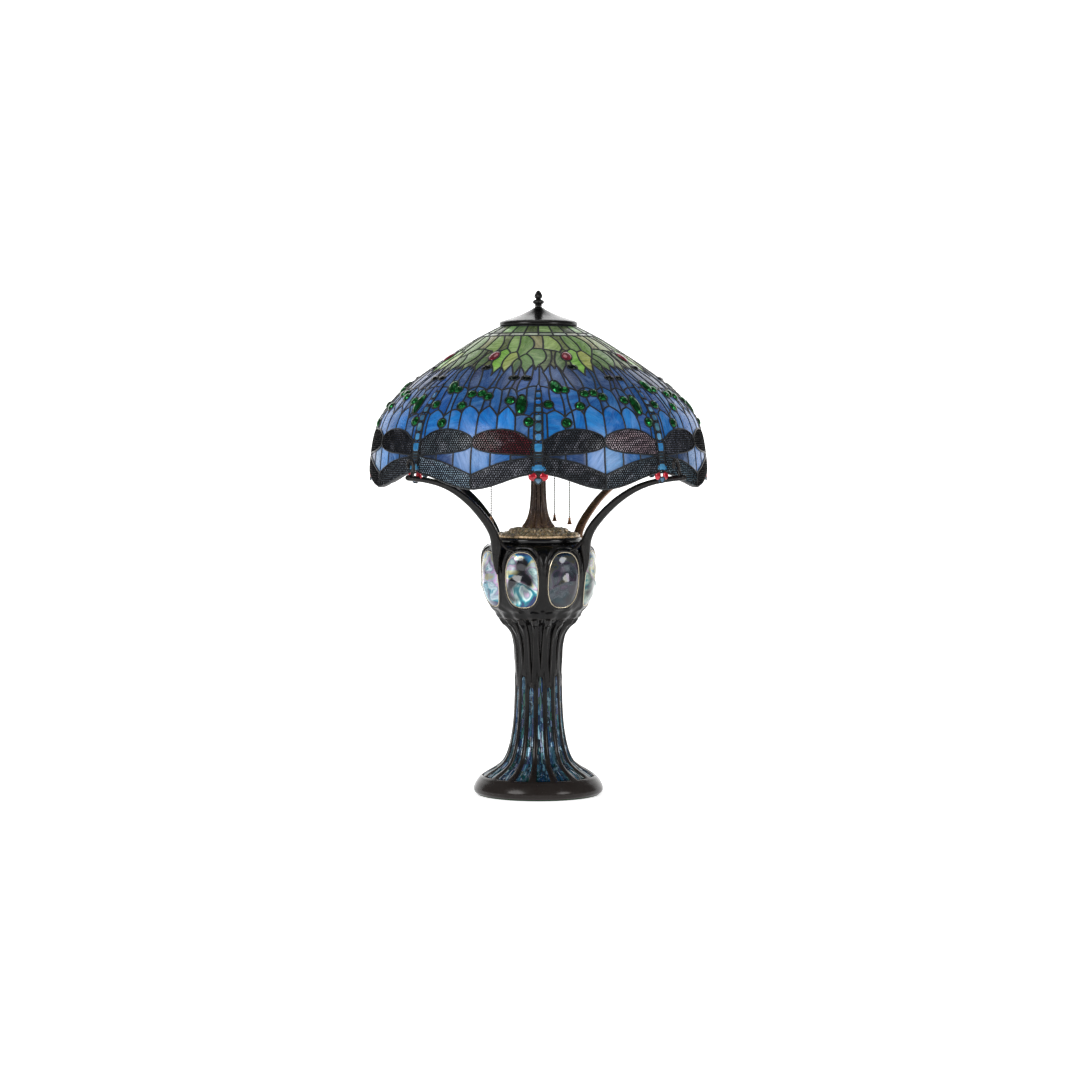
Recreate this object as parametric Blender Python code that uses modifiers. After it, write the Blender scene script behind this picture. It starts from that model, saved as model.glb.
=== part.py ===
"""Leaded glass table lamp on a cast mosaic base, in Blender 4.5.

Metres, +Z up. The origin is the middle of the felt under the foot, and the front dragonfly of the
shade faces -Y. The base castings are turned a little against the shade, as on the real lamp.
"""

import math

import bmesh
import bpy
from mathutils import Matrix, Vector

MM = 0.001
GAP = 0.3 * MM  # air between two pieces that rest on each other
THROUGH = 60 * MM  # the length of a cutter that goes right through a wall

# Repeats around the lamp
DRAGONFLIES = 8
STRIPS = 16
JEWELS = 8
LIGHTS = 3
BASE_TURN = math.radians(5)  # the base castings against the shade
FIRST_LIGHT = math.radians(40)

# Centre rod and finial stud
ROD_R = 4.8 * MM
ROD_BORE = 5.4 * MM
STUD_R = 3.1 * MM
ROD_BOTTOM = 4.0 * MM
ROD_SHOULDER = 818 * MM
STUD_TOP = 835.5 * MM
# Nuts on the rod: bottom, top and width across the flats
BASE_NUT = (4.6 * MM, 9.6 * MM, 17 * MM)
LOCK_NUT = (800 * MM, 805 * MM, 15 * MM)

# Foot and column, outer profile as (radius, height) in millimetres, bottom to top
FELT_R, FELT_T = 104 * MM, 2 * MM
COLUMN = [(106.5, 2.3), (109.6, 6), (109.6, 13), (105.8, 21.5), (98, 30.5), (84.5, 39),
          (71.5, 46.8), (60, 57), (52, 73.5), (46, 98), (42, 130), (40, 180), (40.2, 236),
          (42, 257), (47.2, 275), (58.6, 292), (66.5, 300)]
COLUMN_WALL = 8 * MM
COLUMN_TOP_FLOOR = 4 * MM
FOOT_INNER_R = 98 * MM
PLATE_R, PLATE_Z, PLATE_T = 97 * MM, 10 * MM, 2.5 * MM

# Mosaic strips let into the column
STRIP_ANGLE = math.radians(12.5)
STRIP_FROM_Z = 30 * MM
STRIP_TALL_Z, STRIP_SHORT_Z = 201 * MM, 183 * MM
STRIP_DEPTH = 1.2 * MM  # the glass lies this far under the ribs
STRIP_T = 3.0 * MM
STRIP_PLAY = math.radians(1.2)  # the recess is this much wider than its glass
FLUTE_ANGLE = math.radians(6)
FLUTE_DEPTH = 2.2 * MM
FLUTE_TOP_Z = 284 * MM

# Urn, outer profile bottom to top, and the oval glass jewels in its windows
URN = [(67.5, 300.4), (75, 311), (83, 322), (88.3, 333), (91.6, 345), (95, 369), (96.4, 392),
       (95.6, 406), (92.6, 416), (85.5, 423), (73, 427)]
URN_WALL = 4 * MM
URN_MOUTH_R = 66 * MM
JEWEL_Z = 367 * MM
JEWEL_HALF = (28 * MM, 46.5 * MM)
JEWEL_BAND = (304 * MM, 418 * MM)  # the part of the urn's profile that the tiles are bent to
JEWEL_TILT = math.radians(7)  # the urn narrows downwards
JEWEL_PROUD = 4 * MM

# Collar, pierced gallery plate and riser
COLLAR_R, COLLAR_WALL = 73 * MM, 6 * MM
COLLAR_Z = (427.3 * MM, 436 * MM)
GALLERY = [(69.5, 436.4), (69.5, 439), (60, 443), (48, 450), (38, 451), (6, 451)]
GALLERY_T = 2.5 * MM
GALLERY_LIP = (66.4 * MM, 438 * MM)  # where the plate's edge steps down inside the collar
GALLERY_HOLES, GALLERY_HOLE_R = 12, 5 * MM
GALLERY_HOLE_AT = (56 * MM, 445 * MM)
RISER = [(30, 451.4), (23, 459), (17, 473), (13.6, 495), (12, 525), (11.5, 584)]
RISER_BORE = 6.5 * MM

# Arms that carry the rim of the shade: (radius from the axis, height, half thickness) in millimetres
ARM_ANGLES = [math.radians(a) for a in (45, 135, 218.5, 312)]
ARM = [(103.5, 391, 4.5), (103.6, 404, 6.5), (102.5, 417, 8), (104.5, 432, 8.2), (110.5, 446, 8),
       (120, 459, 7.6), (133, 472, 7.2), (149, 486, 6.9), (168, 500, 6.5), (190, 513, 6),
       (214, 524, 5.5), (240, 532, 5), (266, 537, 4.6), (290, 540, 4.5), (305, 541.6, 4.9),
       (312.5, 542.3, 4.2)]
# The scroll at an arm's end: (sideways, radius, height, half thickness) in millimetres
SCROLL = [(0, 301, 541, 3.6), (0.8, 297.5, 552, 3), (0.2, 296.4, 562, 2.8), (-4.5, 296.2, 569, 2.6),
          (-10.5, 296.2, 568, 2.5), (-12.6, 296.4, 561, 2.7)]

# Lights
HUB_Z = 584.4 * MM
HUB = [(13, 0), (20, 5), (21, 13), (19, 22), (10, 27)]
LIGHT_ELEVATION = math.radians(35)
SOCKET_AT = (47 * MM, 616 * MM)  # radius and height where a socket's cap begins
SOCKET_R, SOCKET_L = 17 * MM, 58 * MM
SOCKET_BORE_R, SOCKET_BORE_FROM = 14 * MM, 36 * MM
BULB = [(12.8, 37), (12.8, 59), (15, 66), (22, 78), (28, 93), (30, 108), (27.5, 121), (19, 132),
        (8, 137)]
BULB_TIP = 138 * MM

# Pull chains
CHAIN_AT = 81 * MM
CHAIN_R = 1.3 * MM
CHAIN_TOP, CHAIN_BOTTOM = 627 * MM, 472 * MM
CHAIN_POINTS = 24
NOZZLE_R, NOZZLE_BORE = 4 * MM, 2.2 * MM
NOZZLE_Z = (609 * MM, 624 * MM)
BELL = [(1.6, 0), (2.2, -3), (2.6, -7), (4, -12)]

# Shade, outer profile top to bottom
SHADE = [(57, 796.6), (73, 788.8), (94, 778), (112, 767.9), (140, 750), (170, 730.4), (205, 705.4),
         (226, 688.2), (243, 671), (257, 654), (267.5, 637.5), (274.2, 620), (279.4, 599),
         (283.2, 576), (285.7, 556)]
SHADE_EDGE_R = 285 * MM
SHADE_EDGE_Z, SHADE_WAVE = 536.6 * MM, 12.4 * MM
SHADE_T = 5 * MM
SHADE_STEPS = 64
RING = (50.5 * MM, 54.3 * MM, 785.5 * MM, 791.8 * MM)  # inner and outer radius, bottom and top

# Cap and finial, outer profiles bottom to top
CAP = [(66, 792.8), (66.4, 796.4), (64.8, 799.6), (60.6, 801.8), (50, 805.2), (37.4, 809.4),
       (26, 814), (16, 818.8), (9, 823.2), (6, 826)]
CAP_SEAT = (61.2 * MM, 795.2 * MM)
CAP_T = 2.2 * MM
CAP_BORE = 3.6 * MM
FINIAL = [(5.4, 826.4), (6, 828.6), (8.8, 830.6), (9.4, 833.6), (8, 836.4), (4.4, 838.4),
          (6.4, 841), (6.5, 843.6), (5, 848), (2.5, 851.5)]
FINIAL_TIP = 853 * MM
FINIAL_BORE_R, FINIAL_BORE_TOP = 3.4 * MM, 836.2 * MM

# Cord outlet at the back of the foot
OUTLET_AT, OUTLET_Z = 109.6 * MM, 14 * MM
OUTLET_R = 5.4 * MM
BUSH_R, BUSH_BORE, BUSH_FLANGE = 5.0 * MM, 3.5 * MM, 8 * MM

COLOURS = {  # base colour, roughness, metallic, transmission
    "dark_bronze": ((0.045, 0.038, 0.035), 0.38, 0.85, 0),
    "antique_gold": ((0.36, 0.25, 0.14), 0.34, 0.9, 0),
    "brown_bronze": ((0.13, 0.085, 0.06), 0.32, 0.9, 0),
    "steel": ((0.5, 0.5, 0.5), 0.35, 1, 0),
    "felt": ((0.03, 0.07, 0.04), 0.95, 0, 0),
    "mosaic_glass": ((0.04, 0.22, 0.34), 0.12, 0.1, 0),
    "jewel_glass": ((0.3, 0.38, 0.42), 0.1, 0.3, 0),
    "shade_glass": ((0.05, 0.22, 0.6), 0.15, 0, 0.1),
    "bulb_glass": ((0.93, 0.92, 0.88), 0.3, 0, 0.2),
    "brass": ((0.55, 0.4, 0.18), 0.3, 1, 0),
    "black_plastic": ((0.02, 0.02, 0.02), 0.5, 0, 0),
}


# ---------------------------------------------------------------- helpers


def clear_scene():
    for obj in list(bpy.data.objects):
        bpy.data.objects.remove(obj)


def collection(name):
    made = bpy.data.collections.new(name)
    bpy.context.scene.collection.children.link(made)
    return made


def cutter_group(name, cutters):
    """A collection of cutters inside the one for all cutters."""
    made = bpy.data.collections.new(name)
    cutters.children.link(made)
    return made


def make_materials():
    made = {}
    for name, (colour, roughness, metallic, transmission) in COLOURS.items():
        material = bpy.data.materials.new(name)
        material.use_nodes = True
        shader = material.node_tree.nodes["Principled BSDF"]
        shader.inputs["Base Color"].default_value = (*colour, 1)
        shader.inputs["Roughness"].default_value = roughness
        shader.inputs["Metallic"].default_value = metallic
        shader.inputs["Transmission Weight"].default_value = transmission
        made[name] = material
    return made


def metres(points):
    return [tuple(value * MM for value in point) for point in points]


def rounded(points):
    """The points with one more half way along each span, on a smooth curve through them all."""
    ends = [Vector(p) for p in points]
    ends = [2 * ends[0] - ends[1], *ends, 2 * ends[-1] - ends[-2]]
    out = []
    for before, start, end, after in zip(ends, ends[1:], ends[2:], ends[3:]):
        out += [tuple(start), tuple((9 * (start + end) - before - after) / 16)]
    return [*out, tuple(ends[-2])]


def offset(profile, distance):
    """The profile (radius, height) moved inwards, at right angles to itself. It runs bottom to top."""
    out = []
    for i, here in enumerate(profile):
        before, after = profile[max(i - 1, 0)], profile[min(i + 1, len(profile) - 1)]
        along = (Vector(after) - Vector(before)).normalized()
        inwards = Vector((-along.y, along.x))
        out.append(tuple(Vector(here) + inwards * distance))
    return out


def between(profile, low, high):
    """The part of a rising profile from one height to another, with new points at both ends."""
    def at(z):
        for (r0, z0), (r1, z1) in zip(profile, profile[1:]):
            if z0 <= z <= z1:
                return (r0 + (r1 - r0) * (z - z0) / (z1 - z0), z)
        raise ValueError(f"the profile doesn't reach {z}")

    inside = [p for p in profile if low + MM < p[1] < high - MM]
    return [at(low), *inside, at(high)]


def add(name, mesh, material, place, parent=None):
    obj = bpy.data.objects.new(name, mesh)
    place.objects.link(obj)
    if material:
        obj.data.materials.clear()
        obj.data.materials.append(material)
    obj.parent = parent
    return obj


def as_cutter(obj):
    obj.hide_render = True
    obj.display_type = "WIRE"
    return obj


def soften(mesh):
    """Shaded smooth, with the sharp edges kept."""
    mesh.shade_smooth()
    mesh.set_sharp_from_angle(angle=math.radians(35))


def outline_mesh(name, outline, closed):
    mesh = bpy.data.meshes.new(name)
    count = len(outline)
    edges = [(i, i + 1) for i in range(count - 1)]
    if closed:
        edges.append((count - 1, 0))
    mesh.from_pydata([(r, 0, z) for r, z in outline], edges, [])
    return mesh


def turned(name, outline, place, material=None, parent=None, steps=40, closed=True):
    """A turned solid. The outline (radius, height) runs down its outer side, then up its bore if closed."""
    obj = add(name, outline_mesh(name, outline, closed), material, place, parent)
    screw = obj.modifiers.new("turn", "SCREW")
    screw.angle = math.tau
    screw.steps = screw.render_steps = steps
    screw.use_merge_vertices = True
    screw.merge_threshold = 0.00002
    return obj


def sleeve(outer, inner):
    """A closed outline from an outer and an inner profile, both running bottom to top."""
    return [*reversed(outer), *inner]


def baked(obj):
    """The object with its modifiers applied into its own mesh."""
    bpy.context.view_layer.update()
    graph = bpy.context.evaluated_depsgraph_get()
    mesh = bpy.data.meshes.new_from_object(obj.evaluated_get(graph))
    obj.modifiers.clear()
    obj.data = mesh
    return obj


def cut(obj, cutter, operation="DIFFERENCE"):
    boolean = obj.modifiers.new(operation.lower(), "BOOLEAN")
    boolean.operation = operation
    boolean.object = cutter
    return obj


def cut_all(obj, cutters):
    boolean = obj.modifiers.new("cuts", "BOOLEAN")
    boolean.operation = "DIFFERENCE"
    boolean.operand_type = "COLLECTION"
    boolean.collection = cutters
    return obj


def wedge_mesh(name, outline, angle, steps):
    """A flat outline (radius, height) swept about the axis by an angle, centred on -Y."""
    bm = bmesh.new()
    corners = [bm.verts.new((r, 0, z)) for r, z in outline]
    face = bm.faces.new(corners)
    bmesh.ops.rotate(bm, verts=corners, cent=(0, 0, 0),
                     matrix=Matrix.Rotation(-math.pi / 2 - angle / 2, 3, "Z"))
    bmesh.ops.spin(bm, geom=[face], cent=(0, 0, 0), axis=(0, 0, 1), angle=angle, steps=steps,
                   use_duplicate=False)
    bmesh.ops.recalc_face_normals(bm, faces=bm.faces)
    mesh = bpy.data.meshes.new(name)
    bm.to_mesh(mesh)
    bm.free()
    return mesh


def cylinder(name, radius, depth, place, sides, matrix=None, radius_top=None, material=None):
    """A cylinder or cone along Z, centred on its matrix."""
    bm = bmesh.new()
    bmesh.ops.create_cone(bm, cap_ends=True, segments=sides, radius1=radius,
                          radius2=radius if radius_top is None else radius_top, depth=depth)
    bm.transform(matrix or Matrix.Identity(4))
    mesh = bpy.data.meshes.new(name)
    bm.to_mesh(mesh)
    bm.free()
    return add(name, mesh, material, place)


def around(angle, radius=0.0, height=0.0):
    """The frame at an angle from the front, its +X along the radius, turning towards +X of the lamp."""
    turn = Matrix.Rotation(angle - math.pi / 2, 4, "Z")
    return turn @ Matrix.Translation((radius, 0, height))


def round_wire(name, points, place, material=None):
    """A round bar along points (x, y, z, half thickness), as a curve with filled caps."""
    data = bpy.data.curves.new(name, "CURVE")
    data.dimensions = "3D"
    data.bevel_depth = 1.0
    data.bevel_resolution = 2
    data.use_fill_caps = True
    spline = data.splines.new("POLY")
    spline.points.add(len(points) - 1)
    for point, (x, y, z, thick) in zip(spline.points, points):
        point.co = (x, y, z, 1)
        point.radius = thick
    return add(name, data, material, place)


def bar_mesh(name, points, place):
    """The same bar as a mesh with welded caps, for a Boolean."""
    curve = round_wire(name + "_line", points, place)
    bpy.context.view_layer.update()
    graph = bpy.context.evaluated_depsgraph_get()
    mesh = bpy.data.meshes.new_from_object(curve.evaluated_get(graph))
    bm = bmesh.new()
    bm.from_mesh(mesh)
    bmesh.ops.remove_doubles(bm, verts=bm.verts, dist=0.00001)
    bmesh.ops.recalc_face_normals(bm, faces=bm.faces)
    bm.to_mesh(mesh)
    bm.free()
    bpy.data.objects.remove(curve)
    return add(name, mesh, None, place)


def turned_copies(source, names, angles, place, parent):
    """Objects that share one mesh, each turned about the axis."""
    for name, angle in zip(names, angles):
        copy = bpy.data.objects.new(name, source)
        copy.rotation_euler.z = angle
        copy.parent = parent
        place.objects.link(copy)


# ---------------------------------------------------------------- base


def make_felt(place, material):
    outline = [(0, FELT_T), (FELT_R, FELT_T), (FELT_R, 0), (0, 0)]
    turned("felt_pad", outline, place, material, closed=False)


def strip_outline(profile, top, outer_depth, inner_depth):
    """The section of a mosaic strip, or of the recess that it lies in."""
    band = between(profile, STRIP_FROM_Z, top)
    return [*reversed(offset(band, outer_depth)), *offset(band, inner_depth)]


def strip_angles():
    """(angle from the front, top of the glass): tall and short strips take turns."""
    return [(math.tau * i / STRIPS, STRIP_SHORT_Z if i % 2 else STRIP_TALL_Z) for i in range(STRIPS)]


def make_column(place, cutters, material, parent):
    """Foot and fluted column in one casting, open below, with a floor under the urn."""
    outer = metres(COLUMN)
    top_r, top_z = outer[-1]
    wall = [p for p in offset(outer, COLUMN_WALL) if 8 * MM < p[1] < top_z - 2.5 * COLUMN_TOP_FLOOR]
    floor_z = top_z - COLUMN_TOP_FLOOR
    inner = [(FOOT_INNER_R, outer[0][1]), (FOOT_INNER_R, wall[0][1]), *wall[1:],
             (top_r - 2 * COLUMN_WALL, floor_z), (ROD_BORE, floor_z), (ROD_BORE, top_z)]
    column = turned("column_casting", sleeve(outer, inner), place, material, parent)
    recesses = cutter_group("column_recesses", cutters)
    depth = STRIP_DEPTH + STRIP_T + GAP
    for i, (angle, top) in enumerate(strip_angles()):
        section = strip_outline(outer, top, -4 * MM, depth)
        recess = wedge_mesh("recess", section, STRIP_ANGLE + STRIP_PLAY, 2)
        piece = as_cutter(add(f"recess_{i:02d}", recess, None, recesses, parent))
        piece.rotation_euler.z = angle
        band = between(outer, top + 10 * MM, FLUTE_TOP_Z)
        section = [*reversed(offset(band, -3 * MM)), *offset(band, FLUTE_DEPTH)]
        flute = as_cutter(add(f"flute_{i:02d}", wedge_mesh("flute", section, FLUTE_ANGLE, 1), None,
                              recesses, parent))
        flute.rotation_euler.z = angle
    hole = cylinder("cord_hole", OUTLET_R, THROUGH, recesses, 20,
                    around(math.pi, OUTLET_AT, OUTLET_Z) @ Matrix.Rotation(math.pi / 2, 4, "Y"))
    as_cutter(hole)
    cut_all(column, recesses)
    soften(baked(column).data)


def make_mosaic(place, material, parent):
    """Sixteen glass strips, tall and short in turn, each just under the ribs of the column."""
    outer = metres(COLUMN)
    meshes = {}
    for top in (STRIP_TALL_Z, STRIP_SHORT_Z):
        outline = strip_outline(outer, top - GAP, STRIP_DEPTH, STRIP_DEPTH + STRIP_T)
        outline = [(r, max(z, STRIP_FROM_Z + 4 * GAP)) for r, z in outline]
        meshes[top] = wedge_mesh("mosaic_strip", outline, STRIP_ANGLE, 2)
        meshes[top].materials.append(material)
    for i, (angle, top) in enumerate(strip_angles()):
        turned_copies(meshes[top], [f"mosaic_strip_{i + 1:02d}"], [angle], place, parent)


def make_cover_plate(place, material, parent):
    top = PLATE_Z + PLATE_T
    outline = [(PLATE_R, top), (PLATE_R, PLATE_Z), (ROD_BORE, PLATE_Z), (ROD_BORE, top)]
    turned("base_cover_plate", outline, place, material, parent)


def make_cord_bush(place, material):
    """The flanged bush that lines the cord outlet, at the back."""
    outline = [(BUSH_FLANGE, 2.5 * MM), (BUSH_FLANGE, 0.5 * MM), (BUSH_R, 0.5 * MM),
               (BUSH_R, -12 * MM), (BUSH_BORE, -12 * MM), (BUSH_BORE, 2.5 * MM)]
    bush = turned("cord_outlet_bush", outline, place, material, steps=20)
    bush.matrix_world = around(math.pi, OUTLET_AT, OUTLET_Z) @ Matrix.Rotation(math.pi / 2, 4, "Y")


def hex_nut(name, bottom, top, across, place, material):
    """A hexagon nut on the centre rod, its bore clear of the rod."""
    nut = cylinder(name, across / math.sqrt(3), top - bottom, place, 6,
                   Matrix.Translation((0, 0, (bottom + top) / 2)), material=material)
    bore = as_cutter(cylinder(name + "_bore", ROD_BORE - 0.1 * MM, THROUGH, place, 16,
                              Matrix.Translation((0, 0, bottom))))
    baked(cut(nut, bore))
    bpy.data.objects.remove(bore)


def make_rod(place, material):
    outline = [(0, STUD_TOP), (STUD_R, STUD_TOP), (STUD_R, ROD_SHOULDER), (ROD_R, ROD_SHOULDER),
               (ROD_R, ROD_BOTTOM), (0, ROD_BOTTOM)]
    turned("centre_rod", outline, place, material, steps=16, closed=False)


# ---------------------------------------------------------------- urn


def jewel_frame(angle):
    """Where an oval sits in the urn's wall: its own Z points outwards."""
    profile = metres(URN)
    radius = between(profile, JEWEL_Z, JEWEL_BAND[1])[0][0]
    return around(angle, radius, JEWEL_Z) @ Matrix.Rotation(math.pi / 2 + JEWEL_TILT, 4, "Y")


def oval(name, margin, place, sides):
    """An elliptic cylinder through the wall, this much larger than the glass all round."""
    across, up = JEWEL_HALF
    obj = cylinder(name, 1, THROUGH, place, sides)
    obj.data.transform(Matrix.Diagonal((up + margin, across + margin, 1, 1)))
    return as_cutter(obj)


def make_urn(place, cutters, material, parent):
    outer = metres(URN)
    inner = offset(outer, URN_WALL)
    inner[0] = (outer[0][0] - URN_WALL, outer[0][1])
    inner[-1] = (outer[-1][0] - URN_WALL, outer[-1][1])
    inner = [p for p in inner[:-1] if p[1] < outer[-1][1] - URN_WALL]
    inner += [(URN_MOUTH_R, outer[-1][1] - URN_WALL), (URN_MOUTH_R, outer[-1][1])]
    urn = turned("urn_casting", sleeve(outer, inner), place, material, parent)
    windows = cutter_group("urn_windows", cutters)
    for i in range(JEWELS):
        window = oval(f"window_{i}", 0.6 * MM, windows, 20)
        window.parent = parent
        window.matrix_local = jewel_frame(math.tau * (i + 0.5) / JEWELS)
    soften(baked(cut_all(urn, windows)).data)


def make_turtlebacks(place, cutters, material, parent):
    """Eight thick oval glass tiles that follow the urn and stand a little proud of it."""
    band = between(metres(URN), *JEWEL_BAND)
    section = [*reversed(offset(band, -JEWEL_PROUD)), *offset(band, URN_WALL + 2 * MM)]
    slab = add("slab", wedge_mesh("turtleback_tile", section, math.radians(44), 4), None, cutters)
    shape = oval("tile_shape", 0, cutters, 20)
    shape.matrix_world = jewel_frame(0)
    baked(cut(slab, shape, "INTERSECT"))
    soften(slab.data)
    slab.data.materials.append(material)
    turned_copies(slab.data, [f"turtleback_tile_{i + 1}" for i in range(JEWELS)],
                  [math.tau * (i + 0.5) / JEWELS for i in range(JEWELS)], place, parent)
    bpy.data.objects.remove(slab)
    bpy.data.objects.remove(shape)


def make_collar(place, material, parent):
    low, high = COLLAR_Z
    edge = 2 * MM
    outline = [(COLLAR_R - edge, high), (COLLAR_R, high - edge), (COLLAR_R, low + edge),
               (COLLAR_R - edge, low), (COLLAR_R - COLLAR_WALL, low), (COLLAR_R - COLLAR_WALL, high)]
    turned("urn_collar", outline, place, material, parent)


def make_gallery(place, cutters, material, parent):
    """The domed, pierced plate that closes the urn and carries the riser."""
    outer = metres(GALLERY)
    inner = [(r, z - GALLERY_T) for r, z in reversed(outer[2:-1])]
    outline = [*reversed(outer), (GALLERY_LIP[0], outer[0][1]), GALLERY_LIP, *reversed(inner),
               (outer[-1][0], outer[-1][1] - GALLERY_T)]
    plate = turned("gallery_plate", outline, place, material, parent, steps=32)
    holes = cutter_group("gallery_holes", cutters)
    for i in range(GALLERY_HOLES):
        frame = around(math.tau * i / GALLERY_HOLES, *GALLERY_HOLE_AT)
        hole = as_cutter(cylinder(f"hole_{i}", GALLERY_HOLE_R, THROUGH, holes, 8))
        hole.parent = parent
        hole.matrix_local = frame @ Matrix.Diagonal((1, 1.35, 1, 1))
    soften(baked(cut_all(plate, holes)).data)


def make_riser(place, material, parent):
    outer = rounded(metres(RISER))
    outline = [*reversed(outer), (RISER_BORE, outer[0][1]), (RISER_BORE, outer[-1][1])]
    soften(baked(turned("riser_stem", outline, place, material, parent, steps=24)).data)


# ---------------------------------------------------------------- arms


def make_arms(place, cutters, material, parent):
    """Four bent arms, each with a scroll that keeps the rim of the shade from sliding outwards."""
    arm = bar_mesh("arm", [(0, -r, z, thick) for r, z, thick in metres(ARM)], cutters)
    scroll = bar_mesh("scroll", [(x, -r, z, thick) for x, r, z, thick in metres(SCROLL)], cutters)
    baked(cut(arm, as_cutter(scroll), "UNION"))
    soften(arm.data)
    arm.data.materials.append(material)
    turned_copies(arm.data, [f"shade_arm_{i + 1}" for i in range(len(ARM_ANGLES))], ARM_ANGLES, place,
                  parent)
    bpy.data.objects.remove(arm)
    bpy.data.objects.remove(scroll)


# ---------------------------------------------------------------- lights


def light_angles():
    return [FIRST_LIGHT + math.tau * i / LIGHTS for i in range(LIGHTS)]


def light_frame(angle):
    """A socket's frame: origin where its cap begins, +Z outwards along the socket."""
    radius, height = SOCKET_AT
    return around(angle, radius, height) @ Matrix.Rotation(math.pi / 2 - LIGHT_ELEVATION, 4, "Y")


def make_hub(place, material):
    """The cluster body on the rod, with one hollow-looking arm to each socket."""
    outer = [(r * MM, HUB_Z + z * MM) for r, z in HUB]
    outline = [*reversed(outer), (ROD_BORE, outer[0][1]), (ROD_BORE, outer[-1][1])]
    hub = baked(turned("socket_cluster", outline, place, material, steps=24))
    reach = 36 * MM
    for i, angle in enumerate(light_angles()):
        arm = cylinder(f"cluster_arm_{i}", 5 * MM, reach, place, 12,
                       light_frame(angle) @ Matrix.Translation((0, 0, -reach / 2 - GAP)))
        baked(cut(hub, as_cutter(arm), "UNION"))
        bpy.data.objects.remove(arm)
    soften(hub.data)


def make_socket(name, angle, place, material):
    """A lamp socket with its bulb bore and the nozzle that the pull chain leaves by."""
    bore, start = SOCKET_BORE_R, SOCKET_BORE_FROM
    outline = [(SOCKET_R, SOCKET_L), (SOCKET_R, 7 * MM), (12 * MM, 1.5 * MM), (8 * MM, 0), (0, 0)]
    outline = [(0, start), (bore, start), (bore, SOCKET_L), *outline]
    socket = turned(name, outline, place, material, steps=20, closed=False)
    socket.matrix_world = light_frame(angle)
    bpy.context.view_layer.update()
    baked(socket)
    low, high = NOZZLE_Z
    nozzle = as_cutter(cylinder("nozzle", NOZZLE_R * 0.8, high - low, place, 12,
                                around(angle, CHAIN_AT, (low + high) / 2), radius_top=NOZZLE_R))
    baked(cut(socket, nozzle, "UNION"))
    bore_top = CHAIN_TOP + MM
    bore = as_cutter(cylinder("nozzle_bore", NOZZLE_BORE, bore_top - low + 10 * MM, place, 10,
                              around(angle, CHAIN_AT, (bore_top + low - 10 * MM) / 2)))
    baked(cut(socket, bore))
    bpy.data.objects.remove(nozzle)
    bpy.data.objects.remove(bore)
    soften(socket.data)


def make_bulb(name, angle, place, material):
    outline = [(0, BULB_TIP), *reversed(metres(BULB)), (0, BULB[0][1] * MM)]
    bulb = turned(name, outline, place, material, steps=20, closed=False)
    bulb.matrix_world = light_frame(angle)
    soften(baked(bulb).data)


def make_chain(name, angle, place, material):
    """The pull chain as a plain cord, hanging from inside the socket's nozzle."""
    x, y, _ = around(angle, CHAIN_AT).translation
    heights = [CHAIN_TOP + (CHAIN_BOTTOM - CHAIN_TOP) * i / (CHAIN_POINTS - 1)
               for i in range(CHAIN_POINTS)]
    round_wire(name, [(x, y, z, CHAIN_R) for z in heights], place, material)


def make_bell(name, angle, place, material):
    outline = [(0, 0), *metres(BELL), (0, BELL[-1][1] * MM)]
    bell = turned(name, outline, place, material, steps=14, closed=False)
    bell.matrix_world = around(angle, CHAIN_AT, CHAIN_BOTTOM - GAP)


# ---------------------------------------------------------------- shade, cap and finial


def shade_edge(angle):
    """The height of the wavy lower edge, highest where a dragonfly's head hangs."""
    return SHADE_EDGE_Z + SHADE_WAVE * math.cos(DRAGONFLIES * angle)


def make_shade(place, material):
    """One soldered shell of glass, its lower edge in eight waves."""
    profile = metres(SHADE)
    rows = len(profile)
    bm = bmesh.new()
    bmesh.ops.create_grid(bm, x_segments=SHADE_STEPS, y_segments=rows, size=0.5)
    for vert in bm.verts:
        angle = vert.co.x * math.tau
        row = round((0.5 - vert.co.y) * rows)
        if row < len(profile):
            radius, height = profile[row]
        else:
            radius, height = SHADE_EDGE_R, shade_edge(angle)
        vert.co = (radius * math.sin(angle), -radius * math.cos(angle), height)
    bmesh.ops.remove_doubles(bm, verts=bm.verts, dist=0.00001)
    bmesh.ops.recalc_face_normals(bm, faces=bm.faces)
    mesh = bpy.data.meshes.new("shade_leaded_glass")
    bm.to_mesh(mesh)
    bm.free()
    shade = add("shade_leaded_glass", mesh, material, place)
    solidify = shade.modifiers.new("glass", "SOLIDIFY")
    solidify.thickness = SHADE_T
    solidify.offset = -1
    soften(baked(shade).data)


def make_shade_ring(place, material):
    inner, outer, low, high = RING
    turned("shade_top_ring", [(outer, high), (outer, low), (inner, low), (inner, high)], place, material)


def make_cap(place, material):
    outer = metres(CAP)
    under = [(r - CAP_T if r < 12 * MM else r, z - CAP_T) for r, z in outer[3:-1]]
    inner = [CAP_SEAT, *under, (CAP_BORE, outer[-1][1] - 3 * MM),
             (CAP_BORE, outer[-1][1])]
    soften(baked(turned("shade_cap", sleeve(outer, inner), place, material, steps=32)).data)


def make_finial(place, material):
    """The turned knob that clamps the cap: its origin is on the rod's axis."""
    outline = [(0, FINIAL_TIP), *reversed(metres(FINIAL)), (FINIAL_BORE_R, FINIAL[0][1] * MM),
               (FINIAL_BORE_R, FINIAL_BORE_TOP), (0, FINIAL_BORE_TOP)]
    soften(baked(turned("finial", outline, place, material, steps=20, closed=False)).data)


# ---------------------------------------------------------------- assembly


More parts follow.
